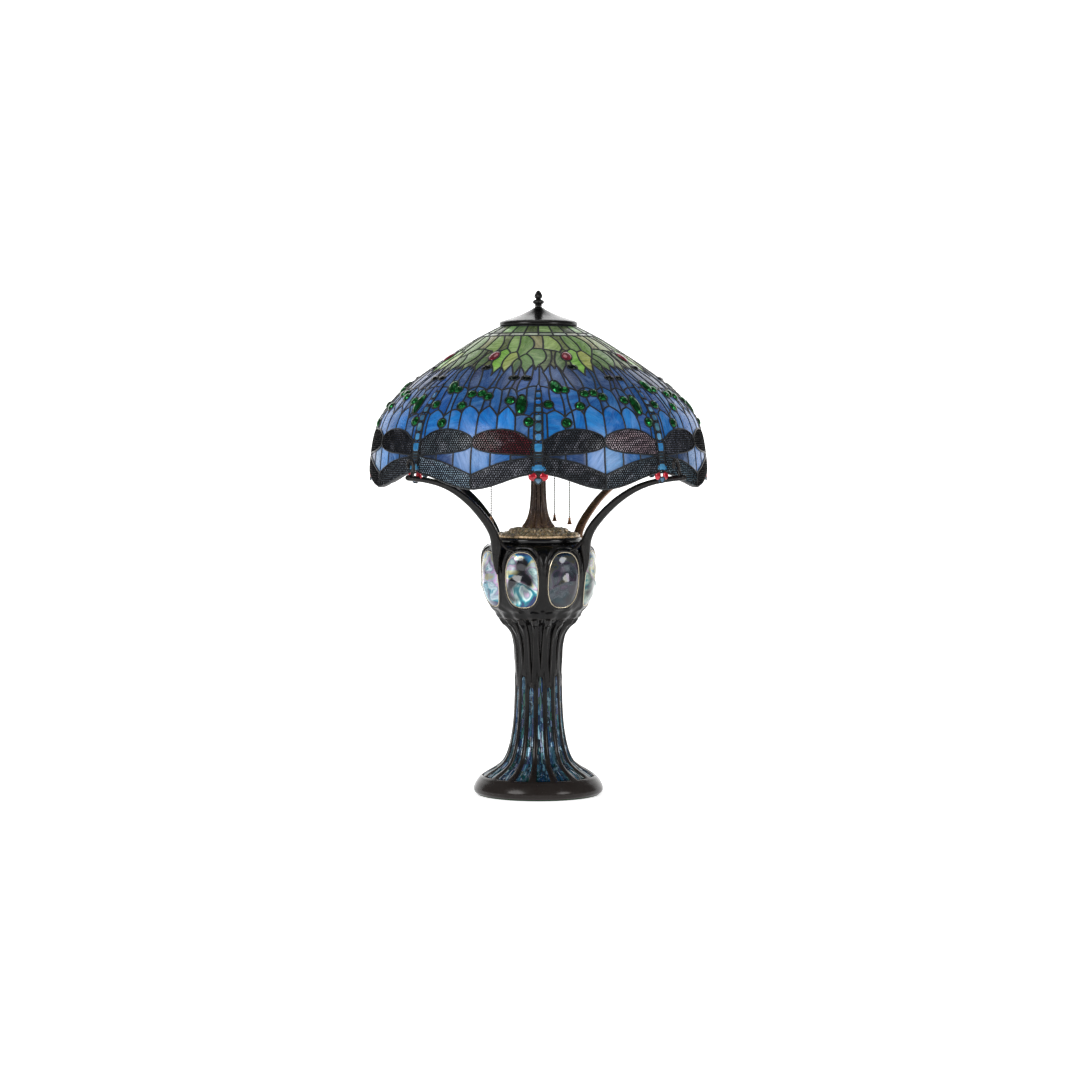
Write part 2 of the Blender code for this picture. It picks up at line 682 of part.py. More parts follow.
def main():
    clear_scene()
    look = make_materials()
    lamp = collection("leaded_glass_table_lamp")
    cutters = collection("cutters")
    base = bpy.data.objects.new("base_frame", None)
    base.rotation_euler.z = BASE_TURN
    lamp.objects.link(base)
    bronze = look["dark_bronze"]

    make_felt(lamp, look["felt"])
    make_cover_plate(lamp, look["steel"], base)
    make_column(lamp, cutters, bronze, base)
    make_mosaic(lamp, look["mosaic_glass"], base)
    make_cord_bush(lamp, look["black_plastic"])
    make_rod(lamp, look["steel"])
    hex_nut("base_nut", *BASE_NUT, lamp, look["steel"])

    make_urn(lamp, cutters, bronze, base)
    make_turtlebacks(lamp, cutters, look["jewel_glass"], base)
    make_collar(lamp, bronze, base)
    make_gallery(lamp, cutters, look["antique_gold"], base)
    make_riser(lamp, look["brown_bronze"], base)
    make_arms(lamp, cutters, bronze, base)

    make_hub(lamp, look["brown_bronze"])
    for i, angle in enumerate(light_angles()):
        make_socket(f"socket_{i + 1}", angle, lamp, look["brown_bronze"])
        make_bulb(f"bulb_{i + 1}", angle, lamp, look["bulb_glass"])
        make_chain(f"pull_chain_{i + 1}", angle, lamp, look["brass"])
        make_bell(f"chain_bell_{i + 1}", angle, lamp, look["brass"])

    make_shade(lamp, look["shade_glass"])
    make_shade_ring(lamp, look["brass"])
    hex_nut("cap_lock_nut", *LOCK_NUT, lamp, look["steel"])
    make_cap(lamp, bronze)
    make_finial(lamp, bronze)


main()
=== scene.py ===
"""The looks of the stained glass table lamp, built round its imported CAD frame, in Blender 4.5.

Lengths in the tables are millimetres and angles are degrees, counted from the front towards +X.
On the shade a place is (angle from a dragonfly's axis, distance down the outside of the shade).
"""

import math
import random

import bpy
import numpy as np
from mathutils import Matrix, Vector, noise
from mathutils.geometry import delaunay_2d_cdt


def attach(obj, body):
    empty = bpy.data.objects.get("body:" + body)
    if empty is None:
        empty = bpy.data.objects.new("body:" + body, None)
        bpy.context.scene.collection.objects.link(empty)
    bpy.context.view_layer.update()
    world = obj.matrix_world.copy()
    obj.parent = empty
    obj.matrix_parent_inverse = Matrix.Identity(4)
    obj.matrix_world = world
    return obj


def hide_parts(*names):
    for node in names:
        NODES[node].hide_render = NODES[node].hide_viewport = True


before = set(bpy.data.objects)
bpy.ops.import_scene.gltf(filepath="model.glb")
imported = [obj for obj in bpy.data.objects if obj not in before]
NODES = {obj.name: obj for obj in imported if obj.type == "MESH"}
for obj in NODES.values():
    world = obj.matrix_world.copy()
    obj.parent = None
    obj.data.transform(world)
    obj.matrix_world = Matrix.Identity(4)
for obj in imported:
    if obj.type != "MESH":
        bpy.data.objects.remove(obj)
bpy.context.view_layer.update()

MM = 0.001
TINY = 1e-9
LAMP = "lamp"

# ---------------------------------------------------------------- camera

CAMERA_X, CAMERA_Y, CAMERA_Z = 0.0027, -4.875, 0.655
CAMERA_DOWN = 2.63
CAMERA_LENS = 96.0


def make_camera():
    data = bpy.data.cameras.new("camera")
    data.lens = CAMERA_LENS
    data.sensor_width = 36
    data.clip_end = 50
    camera = bpy.data.objects.new("camera", data)
    camera.location = (CAMERA_X, CAMERA_Y, CAMERA_Z)
    camera.rotation_euler = (math.radians(90 - CAMERA_DOWN), 0, 0)
    bpy.context.scene.collection.objects.link(camera)
    bpy.context.scene.camera = camera


# ---------------------------------------------------------------- meshes


# The order of a face's corners: as they run, and for a bead outside (1) or inside (-1) the shade
AS_RUN, FACING = (0, 1, 2, 3), {1: (1, 2, 3, 0), -1: (0, 3, 2, 1)}


class Build:
    """Gathers the points and faces of many closed solids into one mesh."""

    def __init__(self):
        self.points, self.faces, self.looks, self.tints, self.grains = [], [], [], [], []
        self.count = 0

    def add(self, points, faces, look=0, tint=(1, 1, 1), grain=None):
        """Points in metres. Grain is where each point lies in its own glass sheet, in millimetres."""
        points = np.asarray(points, float)
        self.points.append(points)
        self.faces += [tuple(i + self.count for i in face) for face in faces]
        self.looks += [look] * len(faces)
        self.tints += [tint] * len(faces)
        self.grains.append(points / MM if grain is None else np.asarray(grain, float))
        self.count += len(points)

    def grid(self, points, look=0, tint=(1, 1, 1), ring=True, order=AS_RUN):
        """Faces over rows of points that run round. A ring of rows closes on itself; else it has ends."""
        rows, steps = points.shape[:2]
        faces = []
        for j in range(rows if ring else rows - 1):
            a, b = j * steps, (j + 1) % rows * steps
            for i in range(steps):
                m = (i + 1) % steps
                corners = (a + i, a + m, b + m, b + i)
                faces.append(tuple(corners[k] for k in order))
        if not ring:
            ends = [tuple(reversed(range(steps))), tuple((rows - 1) * steps + i for i in range(steps))]
            faces += [end[::-1] for end in ends] if order == FACING[-1] else ends
        self.add(points.reshape(-1, 3), faces, look, tint)

    def made(self, name, materials, slot, body=LAMP, sharp=35, replaces=()):
        """The mesh as a new piece that rides on a body. Edges past the sharp angle stay sharp."""
        mesh = bpy.data.meshes.new(name)
        mesh.from_pydata(np.concatenate(self.points), [], self.faces)
        for material in materials:
            mesh.materials.append(material)
        mesh.polygons.foreach_set("material_index", self.looks)
        tint = mesh.attributes.new("tint", "FLOAT_COLOR", "FACE")
        tint.data.foreach_set("color", np.array([(*t, 1) for t in self.tints], np.float32).ravel())
        grain = mesh.attributes.new("grain", "FLOAT_VECTOR", "POINT")
        grain.data.foreach_set("vector", np.concatenate(self.grains).astype(np.float32).ravel())
        mesh.validate()
        mesh.shade_smooth()
        mesh.set_sharp_from_angle(angle=math.radians(sharp))
        obj = bpy.data.objects.new(name, mesh)
        bpy.context.scene.collection.objects.link(obj)
        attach(obj, body)
        if replaces:
            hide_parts(*replaces)
        return obj


def smooth_line(points, steps=8):
    """A smooth curve through every point, as a numpy array."""
    rows = np.array(points, float)
    rows = np.vstack([2 * rows[0] - rows[1], rows, 2 * rows[-1] - rows[-2]])
    out = []
    for a, b, c, d in zip(rows, rows[1:], rows[2:], rows[3:]):
        for t in np.arange(steps) / steps:
            out.append(0.5 * (2 * b + (c - a) * t + (2 * a - 5 * b + 4 * c - d) * t * t
                              + (3 * b - a - 3 * c + d) * t ** 3))
    return np.array([*out, rows[-2]])


def wobble(x, y=0.0, z=0.0):
    """Smooth noise from -1 to 1."""
    return noise.noise(Vector((x, y, z)))


def circle(sides):
    """Angles in radians, evenly round a circle."""
    return np.arange(sides) / sides * math.tau


def rounded(turn, power):
    """Across and up on a circle, squared off by a power below one."""
    return [np.sign(part) * np.abs(part) ** power for part in (np.cos(turn), np.sin(turn))]


def unit(rows):
    return rows / np.maximum(np.linalg.norm(rows, axis=1, keepdims=True), TINY)


def run_of(line):
    """How far along the line each of its points lies."""
    return np.concatenate([[0], np.cumsum(np.linalg.norm(np.diff(line, axis=0), axis=1))])


def polar(angle, r, z):
    """Points in metres from degrees and millimetres."""
    turn = np.radians(angle)
    return np.stack([r * np.sin(turn), -r * np.cos(turn), z], -1) * MM


class Skin:
    """A turned surface, where a place is an angle and a distance along the profile."""

    def __init__(self, profile, outward):
        """Outward is 1 for a profile that runs up, or -1 for one that runs down."""
        self.line, self.run, self.outward = profile, run_of(profile), outward
        self.slope = np.gradient(profile, self.run, axis=0)

    def radius(self, run):
        return np.interp(run, self.run, self.line[:, 0])

    def run_at(self, z):
        return np.interp(z * self.outward, self.line[:, 1] * self.outward, self.run)

    def at(self, angle, run, lift):
        """Points in metres at these places, lifted off the surface."""
        angle, run, lift = np.broadcast_arrays(angle, run, lift)
        slope_r, slope_z = (np.interp(run, self.run, self.slope[:, k]) for k in (0, 1))
        length = np.hypot(slope_r, slope_z) * self.outward
        return polar(angle, self.radius(run) + slope_z / length * lift,
                     np.interp(run, self.run, self.line[:, 1]) - slope_r / length * lift)


# ---------------------------------------------------------------- materials


def tone(red, green, blue):
    """A colour from 0 to 255 as Blender's linear colour."""
    return tuple(((c / 255 + 0.055) / 1.055) ** 2.4 if c > 10 else c / 255 / 12.92
                 for c in (red, green, blue))


def tones(*colours):
    return [tone(*colour) for colour in colours]


class Nodes:
    """Short ways to add nodes to a material."""

    def __init__(self, name, roughness=0.4, metallic=0.0, **sockets):
        self.material = bpy.data.materials.new(name)
        self.material.use_nodes = True
        self.tree = self.material.node_tree
        self.shader = self.tree.nodes["Principled BSDF"]
        self.shader.inputs["Roughness"].default_value = roughness
        self.shader.inputs["Metallic"].default_value = metallic
        for socket, value in sockets.items():
            self.shader.inputs[socket.replace("_", " ")].default_value = value

    def node(self, kind, **values):
        made = self.tree.nodes.new(kind)
        for key, value in values.items():
            setattr(made, key, value)
        return made

    def link(self, source, target):
        self.tree.links.new(source, target)

    def place(self, scale=(1, 1, 1), attribute=None):
        """Coordinates: the object's own metres, or the grain attribute in millimetres."""
        if attribute:
            source = self.node("ShaderNodeAttribute", attribute_name=attribute).outputs["Vector"]
        else:
            source = self.node("ShaderNodeTexCoord").outputs["Object"]
        mapping = self.node("ShaderNodeMapping")
        mapping.inputs["Scale"].default_value = scale
        self.link(source, mapping.inputs["Vector"])
        return mapping.outputs["Vector"]

    def noise(self, where, scale, detail=3.0, roughness=0.55, distortion=0.0):
        made = self.node("ShaderNodeTexNoise")
        for key, value in (("Scale", scale), ("Detail", detail), ("Roughness", roughness),
                           ("Distortion", distortion)):
            made.inputs[key].default_value = value
        self.link(where, made.inputs["Vector"])
        return made.outputs["Fac"]

    def ramp(self, value, *stops):
        """Stops are (place, colour); a single number is a grey."""
        made = self.node("ShaderNodeValToRGB")
        elements = made.color_ramp.elements
        while len(elements) < len(stops):
            elements.new(0.5)
        for element, (at, colour) in zip(elements, stops):
            element.position = at
            rgb = colour if isinstance(colour, tuple) else (colour,) * 3
            element.color = (*rgb, 1)
        self.link(value, made.inputs["Fac"])
        return made.outputs["Color"]

    def mix(self, factor, first, second, blend="MIX"):
        made = self.node("ShaderNodeMix", data_type="RGBA", blend_type=blend)
        for socket, value in ((0, factor), (6, first), (7, second)):
            if isinstance(value, bpy.types.NodeSocket):
                self.link(value, made.inputs[socket])
            elif socket:
                made.inputs[socket].default_value = (*value, 1)
            else:
                made.inputs[socket].default_value = value
        return made.outputs[2]

    def times(self, first, second):
        return self.mix(1.0, first, second, "MULTIPLY")

    def tint(self):
        return self.node("ShaderNodeAttribute", attribute_name="tint").outputs["Color"]

    def grain(self, scale, *values):
        """Noise that follows each piece's own sheet of glass."""
        return self.noise(self.place(scale, "grain"), 1, *values)

    def colour(self, value):
        self.link(value, self.shader.inputs["Base Color"])

    def rough(self, value, low, high):
        self.link(self.ramp(value, (0.3, low), (0.7, high)), self.shader.inputs["Roughness"])

    def bump(self, value, strength, distance):
        made = self.node("ShaderNodeBump")
        made.inputs["Strength"].default_value = strength
        made.inputs["Distance"].default_value = distance
        self.link(value, made.inputs["Height"])
        self.link(made.outputs["Normal"], self.shader.inputs["Normal"])


def metal(name, colours, roughness, grain_scale, metallic=0.9, bump=0.25, foot=None, shine=0.5,
          cloud_scale=38):
    """A patinated metal: clouds of a dark and a main colour, with a bright one on the convex edges, partly
    rubbed wear and partly a painted highlight.

    A foot is (low, high, colour): below those heights in metres the metal turns to that colour."""
    n = Nodes(name, roughness, metallic, Specular_IOR_Level=shine)
    dark, main, bright = tones(*colours)
    where = n.place()
    cloud = n.noise(where, cloud_scale, 5, 0.6)
    fine = n.noise(where, grain_scale, 4, 0.65)
    body = n.ramp(cloud, (0.3, dark), (0.62, main))
    if foot:
        low, high, colour = foot
        split = n.node("ShaderNodeSeparateXYZ")
        n.link(where, split.inputs[0])
        height = n.node("ShaderNodeMapRange")
        n.link(split.outputs["Z"], height.inputs["Value"])
        height.inputs["From Min"].default_value = low
        height.inputs["From Max"].default_value = high
        body = n.mix(height.outputs["Result"], n.mix(cloud, colour, bright), body)
    # The bright colour on convex edges: partly rubbed wear, partly a painted highlight.
    edge = n.node("ShaderNodeNewGeometry").outputs["Pointiness"]
    wear_and_painted_highlight = n.ramp(edge, (0.5, 0.0), (0.56, 0.75))
    n.colour(n.mix(wear_and_painted_highlight, body, bright))
    n.rough(fine, roughness - 0.07, roughness + 0.12)
    n.bump(n.mix(0.35, fine, cloud), bump, 0.0006)
    return n.material


def sheet_glass(name, streak, pale, wisp, roughness=0.26):
    """Art glass in the piece's own tint: deeper streaks, faint paler wisps and a slightly wavy face."""
    n = Nodes(name, roughness, 0, Coat_Weight=0.06, Coat_Roughness=0.1, IOR=1.42)
    tint = n.tint()
    streaks = n.grain((0.17, 0.02, 0.1), 3, 0.55, 0.5)
    clouds = n.grain((0.06, 0.035, 0.1), 2, 0.5, 0.8)
    fine = n.grain((0.5, 0.14, 0.3), 3, 0.6)
    light = n.ramp(n.grain((0.3, 0.05, 0.2), 4, 0.65), (0.3, 0.86), (0.7, 1.12))
    body = n.mix(n.ramp(streaks, (0.34, 0.8), (0.6, 0.0)), tint, n.times(tint, streak))
    body = n.mix(n.ramp(clouds, (0.5, 0.0), (0.72, wisp)), body, pale)
    n.colour(n.times(body, light))
    n.rough(fine, roughness - 0.04, roughness + 0.1)
    n.bump(n.mix(0.4, clouds, fine), 0.3, 0.0008)
    return n.material


def tinted_glass(name, low, high, scale, metallic, coat=0.5):
    """Pressed glass in the piece's tint, from low to high times as bright."""
    n = Nodes(name, 0.05, metallic, Coat_Weight=coat, Coat_Roughness=0.03, IOR=1.52)
    cloud = n.noise(n.place(), scale, 4, 0.6, 0.4)
    n.colour(n.times(n.tint(), n.ramp(cloud, (0.35, low), (0.65, high))))
    n.rough(cloud, 0.05, 0.13)
    n.bump(cloud, 0.1, 0.0005)
    return n.material


# ---------------------------------------------------------------- the shade's surface

REPEATS = 8
PERIOD = 360 / REPEATS
SHADE = [(57, 796.4), (73, 788.6), (94, 777.8), (112, 767.7), (140, 749.8), (170, 730.2), (205, 705.2),
         (226, 688), (243, 670.8), (257, 653.8), (267.4, 637.3), (273.9, 620), (279, 599), (282.3, 576),
         (284.1, 556), (284.1, 538), (283.9, 522)]
EDGE_Z, EDGE_WAVE = 536.6, 12.4
SHADE_SKIN = Skin(smooth_line(SHADE, 12), -1)
GLASS_OUT, GLASS_IN = -1.3, -4.0  # faces of the glass, as lift above the shade's outside
LEAD_HALF, LEAD_RISE, INNER_RISE = 1.55, 1.15, 0.8

on_shade = SHADE_SKIN.at


def edge_at(angle):
    """How far down the shade's wavy lower edge lies."""
    return SHADE_SKIN.run_at(EDGE_Z + EDGE_WAVE * np.cos(np.radians(angle) * REPEATS))


def per_degree(down):
    """Millimetres round the shade in one degree."""
    return math.radians(1) * SHADE_SKIN.radius(down)


class Sheet:
    """A flat map, in millimetres, of the part of the shade round one point."""

    def __init__(self, points):
        self.angle, self.down = np.mean(points, axis=0)
        self.per_degree = per_degree(self.down)

    def flat(self, points):
        angle, down = np.transpose(points)
        return np.stack([(angle - self.angle) * self.per_degree, self.down - down], 1)

    def shade(self, flat):
        return np.stack([flat[:, 0] / self.per_degree + self.angle, self.down - flat[:, 1]], 1)


def inside(points, outline):
    """Which points are in the polygon, how far each is from its outline, and the nearest place there."""
    a, b = outline, np.roll(outline, -1, axis=0)
    along = b - a
    to = points[:, None] - a[None]
    t = np.clip((to * along).sum(2) / np.maximum((along ** 2).sum(1), TINY), 0, 1)
    nearest = a + along * t[..., None]
    distance = np.linalg.norm(points[:, None] - nearest, axis=2)
    crosses = (a[:, 1] > points[:, None, 1]) != (b[:, 1] > points[:, None, 1])
    rise = np.where(np.abs(along[:, 1]) < TINY, TINY, along[:, 1])
    at = a[:, 0] + along[:, 0] * (points[:, None, 1] - a[:, 1]) / rise
    best = distance.argmin(1)
    rows = np.arange(len(points))
    return (crosses & (points[:, None, 0] < at)).sum(1) % 2 == 1, distance[rows, best], nearest[rows, best]


def shrunk(outline, by):
    """The polygon with every side moved inwards."""
    x, y = outline.T
    if np.sum(x * np.roll(y, -1) - y * np.roll(x, -1)) <= 0:
        outline = outline[::-1]
    along = unit(np.roll(outline, -1, axis=0) - outline)
    after = np.stack([-along[:, 1], along[:, 0]], 1)
    middle = np.roll(after, 1, axis=0) + after
    share = np.maximum((middle ** 2).sum(1, keepdims=True) / 2, 0.5)
    return outline + middle / share * by


def even_line(points, step):
    """The line with its points this far apart."""
    along = run_of(points)
    at = np.linspace(0, along[-1], max(2, int(round(along[-1] / step)) + 1))
    return np.stack([np.interp(at, along, points[:, 0]), np.interp(at, along, points[:, 1])], 1)


def open_edges(faces):
    """The edges that only one of the faces has."""
    edges = dict.fromkeys(edge for face in faces for edge in zip(face, (*face[1:], face[0])))
    return [(a, b) for a, b in edges if (b, a) not in edges]


ROUND_OFF = 5.0  # how far in from its edge a piece of glass curves down
SEED_TURN, SEED_SHIFT = 2.4, 37.0  # how far a piece's seed turns and shifts its grain
SEED_MOST = 40
WAVE_ACROSS, WAVE_DOWN, WAVE_HIGH = 0.11, 0.08, 0.12
WAVE_FROM = 0.3  # the waves start this far in from a piece's edge
GRID_ROW, GRID_CLEAR = 0.87, 0.45  # the inner points' row distance and clearance, as shares of spacing


def slab(build, outline, out, back, look, tint, gap=0.55, dome=0.35, spacing=4.2, seed=0.0):
    """One closed piece of glass on the shade. Outline is (angle, down); out and back are its faces."""
    sheet = Sheet(outline)
    flat = shrunk(sheet.flat(outline), gap)
    low, high = flat.min(0), flat.max(0)
    rows = np.arange(low[1], high[1], spacing * GRID_ROW)
    grid = np.array([(x + (j % 2) * spacing / 2, y) for j, y in enumerate(rows)
                     for x in np.arange(low[0], high[0], spacing)]).reshape(-1, 2)
    if len(grid):
        within, away, _ = inside(grid, flat)
        grid = grid[within & (away > spacing * GRID_CLEAR)]
    found = delaunay_2d_cdt([Vector(p) for p in [*flat, *grid]], [], [list(range(len(flat)))], 1, 0.0001)
    points = np.array([tuple(p) for p in found[0]]).reshape(-1, 2)
    faces = [tuple(face) for face in found[2]]
    if not faces:
        return
    away = inside(points, flat)[1]
    raised = dome * (1 - np.clip(1 - away / ROUND_OFF, 0, 1) ** 2)
    wave = np.array([wobble(x * WAVE_ACROSS, y * WAVE_DOWN, seed) for x, y in points]) * WAVE_HIGH
    places = sheet.shade(points).T
    count = len(points)
    solid = faces + [tuple(i + count for i in reversed(face)) for face in faces]
    solid += [(b, a, a + count, b + count) for a, b in open_edges(faces)]
    turn = seed * SEED_TURN
    grain = np.stack([points[:, 0] * math.cos(turn) - points[:, 1] * math.sin(turn),
                      points[:, 0] * math.sin(turn) + points[:, 1] * math.cos(turn),
                      np.full(count, seed * SEED_SHIFT)], 1)
    skins = [on_shade(*places, out + raised + wave * (away > WAVE_FROM)), on_shade(*places, back)]
    build.add(np.vstack(skins), solid, look, tint, np.vstack([grain, grain]))


BEAD = ((-1, -0.5), (-0.96, 0.25), (-0.62, 0.8), (0, 1), (0.62, 0.8), (0.96, 0.25), (1, -0.5))
BEAD_IN = ((-1, -0.5), (-0.75, 0.65), (0.75, 0.65), (1, -0.5))
UNEVEN_WIDE, UNEVEN_HIGH = 0.14, 0.18  # how far a bead's width and height vary, as shares
BEAD_PAST = 0.5  # how far a bead runs past its line's ends, as a share of its half width


def bead(build, line, half, rise, base, closed=False, section=BEAD, sign=1, step=2.8):
    """A solder line along (angle, down) points: a low domed bar, a little uneven in width and height."""
    sheet = Sheet(line)
    flat = sheet.flat(line)
    flat = even_line(np.vstack([flat, flat[:1]]) if closed else flat, step)
    if closed:
        flat = flat[:-1]
        along = unit(np.roll(flat, -1, axis=0) - np.roll(flat, 1, axis=0))
    else:
        along = unit(np.gradient(flat, axis=0))
        flat[0] -= along[0] * half * BEAD_PAST
        flat[-1] += along[-1] * half * BEAD_PAST
    side = np.stack([along[:, 1], -along[:, 0]], 1)
    uneven = np.array([wobble(a * 1.7, d * 0.23, 3.1) for a, d in sheet.shade(flat)])
    rings = []
    for across, up in section:
        spot = sheet.shade(flat + side * (across * half * (1 + UNEVEN_WIDE * uneven))[:, None])
        rings.append(on_shade(*spot.T, base + sign * (up * rise * (1 + UNEVEN_HIGH * uneven))))
    build.grid(np.stack(rings, 1), ring=closed, order=FACING[sign])


def inner_bead(build, line, half, rise, base, closed=False, step=5):
    """The flatter solder line on the shade's inside."""
    bead(build, line, half, rise, base, closed, BEAD_IN, -1, step)


BLOB, BLOB_SIDES, BLOB_BACK = ((1, -0.4), (0.92, 0.3), (0.6, 0.85)), 10, 0.4
BLOB_WIDER, BLOB_HIGHER = 1.35, 1.05  # than the lines that meet there


def blob(build, angle, down, radius, rise, base):
    """The low mound of solder where lines meet."""
    sides, turn = BLOB_SIDES, circle(BLOB_SIDES)
    points = [on_shade(angle + np.cos(turn) * radius * share / per_degree(down),
                       down + np.sin(turn) * radius * share, base + up * rise) for share, up in BLOB]
    points.append(on_shade(angle, down, [base + rise, base - BLOB_BACK * rise]))
    faces = []
    for k in range(sides):
        m = (k + 1) % sides
        faces += [(a + sides + k, a + sides + m, a + m, a + k) for a in (0, sides)]
        faces += [(3 * sides, 2 * sides + m, 2 * sides + k), (3 * sides + 1, k, m)]
    build.add(np.vstack(points), faces)


# ---------------------------------------------------------------- the shade's lead lines

# Rows of joints down one repeat of the pattern. Glass pieces lie between one row and the next.
CHAINS = [
    [(-15, 9), (0, 9), (15, 9)],
    [(-15, 36), (0, 36), (15, 36)],
    [(-17, 46.5), (-15, 46.5), (-10, 46.5), (0, 46.5), (3.5, 46.5), (10, 46.5), (15, 46.5), (21, 46.5)],
    [(-22, 89), (-18.5, 102), (-14.5, 97), (-11.5, 120), (-7.5, 106), (-4, 90), (3, 91), (8.5, 93),
     (11.5, 97), (14.5, 103), (16.5, 92), (19, 97)],
    [(-22.5, 168), (-19.5, 145), (-17, 162), (-14.5, 139), (-11.5, 171), (-9, 143), (-6.5, 166),
     (-3, 139), (-1.5, 152), (0.3, 138), (2.5, 163), (6.5, 138), (8.2, 150), (9.4, 141), (12, 161),
     (14.6, 137), (16.4, 156), (18.4, 136)],
    [(-21.5, 208), (-18, 199), (-14.5, 209), (-11.5, 200), (-8.5, 211), (-4.5, 200), (0, 199),
     (4.5, 201), (8.5, 210), (12, 200), (15.5, 209), (19, 200)],
    [(-21.5, 259), (-18, 241), (-14.5, 260), (-11, 243), (-8, 264), (-5.2, 258), (-3.2, 261), (0, 252),
     (3.2, 258), (6, 250), (9.5, 264), (12, 251), (14.4, 247), (16.5, 258), (19, 240)],
    [(-22.5, 308), (-21.5, 308), (-16, 308), (-14.5, 308), (-9, 308), (-8.4, 308), (-3.2, 308), (0, 308),
     (3.2, 308), (9, 308), (9.6, 308), (12.5, 308), (16, 308), (16.8, 308)],
    [(-22.5, 367), (-16, 355), (-9, 348), (0, 348), (9, 348), (16, 355)],
]
# Lead lines between one row of joints and the next: (joint above, joint below, how far the line bows)
LINES = [
    [(0, 0, 0), (1, 1, 0), (2, 2, 0)],
    [(0, 1, 0), (1, 3, 0), (2, 6, 0)],
    [(0, 2, 0.06), (2, 5, 0.16), (4, 6, 0.04), (5, 10, 0.1), (7, 12, -0.05)],
    [(1, 1, -0.08), (3, 3, -0.1), (3, 5, 0.12), (4, 7, 0.1), (6, 9, 0.16), (7, 11, 0.05), (8, 13, -0.06),
     (9, 15, 0.1), (11, 17, -0.05)],
    [(1, 0, 0.06), (3, 1, -0.05), (4, 2, 0.05), (5, 3, 0.04), (6, 4, -0.05), (7, 5, 0.05), (9, 6, 0),
     (10, 7, 0.05), (11, 8, -0.06), (13, 9, 0.05), (14, 10, -0.04), (15, 11, 0.05)],
    [(0, 0, 0.05), (1, 1, -0.04), (2, 2, 0.04), (3, 3, -0.05), (4, 4, 0.06), (5, 5, 0.03), (6, 7, 0),
     (7, 9, -0.05), (8, 10, 0.05), (9, 11, -0.04), (10, 12, 0.05), (11, 14, -0.04)],
    [(0, 1, 0), (2, 3, 0.03), (4, 5, 0.05), (6, 6, 0), (7, 7, 0), (8, 8, 0), (10, 10, -0.04),
     (11, 11, 0.03), (13, 13, 0)],
    [(0, 0, 0), (2, 1, 0), (4, 2, 0), (7, 3, 0), (9, 4, 0), (12, 5, 0)],
]
CHAIN_BOW = [0, 0, 0, 0.08, 0.09, 0.16, 0.19, 0, 0]
LEAF, SKY, BAND = 0, 1, 2
STEADY_ROWS = (0, 1, 2, 7, 8)  # their joints keep their places
LOOSE_ACROSS, LOOSE_DOWN = 1.1, 2.2
SAME_POINT = 0.02
BOW_SPREAD = 0.02  # how far a line's bow strays from its table
# The look and the tints of the pieces in each row, from the first line on, before they vary
GREENS = tones((74, 90, 54), (146, 182, 118), (108, 136, 88))
WHITES = tones((188, 198, 176), (150, 160, 142), (186, 206, 186))
TIER_ONE = tones((112, 146, 72), (150, 148, 106), (148, 174, 100), (112, 124, 76),
            (128, 158, 94))
TIER_TWO = tones((168, 184, 100), (64, 98, 52), (104, 136, 78), (112, 144, 88),
            (82, 100, 60), (96, 98, 62), (84, 110, 68), (92, 100, 62), (134, 186, 78))
SHADOWS = tones((34, 80, 134), (58, 84, 130), (30, 76, 134), (50, 68, 110), (28, 82, 146),
           (26, 84, 150), (34, 80, 134), (28, 84, 144), (58, 84, 130), (34, 80, 138),
           (54, 70, 108), (42, 80, 136))
MIDDLES = tones((36, 80, 134), (42, 102, 166), (60, 86, 134), (30, 80, 130), (36, 82, 136),
           (20, 80, 142), (6, 84, 156), (18, 88, 158), (52, 112, 174), (34, 102, 166),
           (46, 82, 134), (32, 98, 162))
PETALS = tones((10, 104, 176), (34, 118, 190), (66, 104, 158), (22, 92, 158),
          (8, 100, 168), (24, 110, 178), (62, 112, 172), (18, 108, 180), (36, 118, 188))
GAPS = tones((76, 130, 190), (38, 94, 152), (42, 68, 100), (30, 48, 74), (40, 66, 108),
        (106, 142, 188))
ROWS = [(LEAF, GREENS), (BAND, WHITES), (LEAF, TIER_ONE), (LEAF, TIER_TWO), (SKY, SHADOWS),
        (SKY, MIDDLES), (SKY, PETALS), (SKY, GAPS)]


def joints():
    """Every row's joints right round the shade, each a little off its place as hand work is."""
    chance = random.Random(11)
    rows = []
    for number, chain in enumerate(CHAINS):
        loose = 0 if number in STEADY_ROWS else 1
        row = []
        for repeat in range(REPEATS):
            for angle, down in chain:
                shift = chance.uniform(-1, 1) * LOOSE_ACROSS * loose
                drop = chance.uniform(-1, 1) * LOOSE_DOWN * loose
                row.append((angle + PERIOD * repeat + shift / per_degree(down), down + drop))
        rows.append(row)
    return rows


def bowed(start, end, bow):
    """(angle, down) points from start to end, bowed sideways by that share of the length."""
    start, end = np.array(start, float), np.array(end, float)
    sheet = Sheet(np.array([start, end]))
    a, b = sheet.flat(np.array([start, end]))
    length = np.linalg.norm(b - a)
    count = max(2, int(length / 3) + 1)
    t = np.linspace(0, 1, count)[:, None]
    side = np.array([a[1] - b[1], b[0] - a[0]])
    return sheet.shade(a + (b - a) * t + side * (4 * bow * t * (1 - t)))


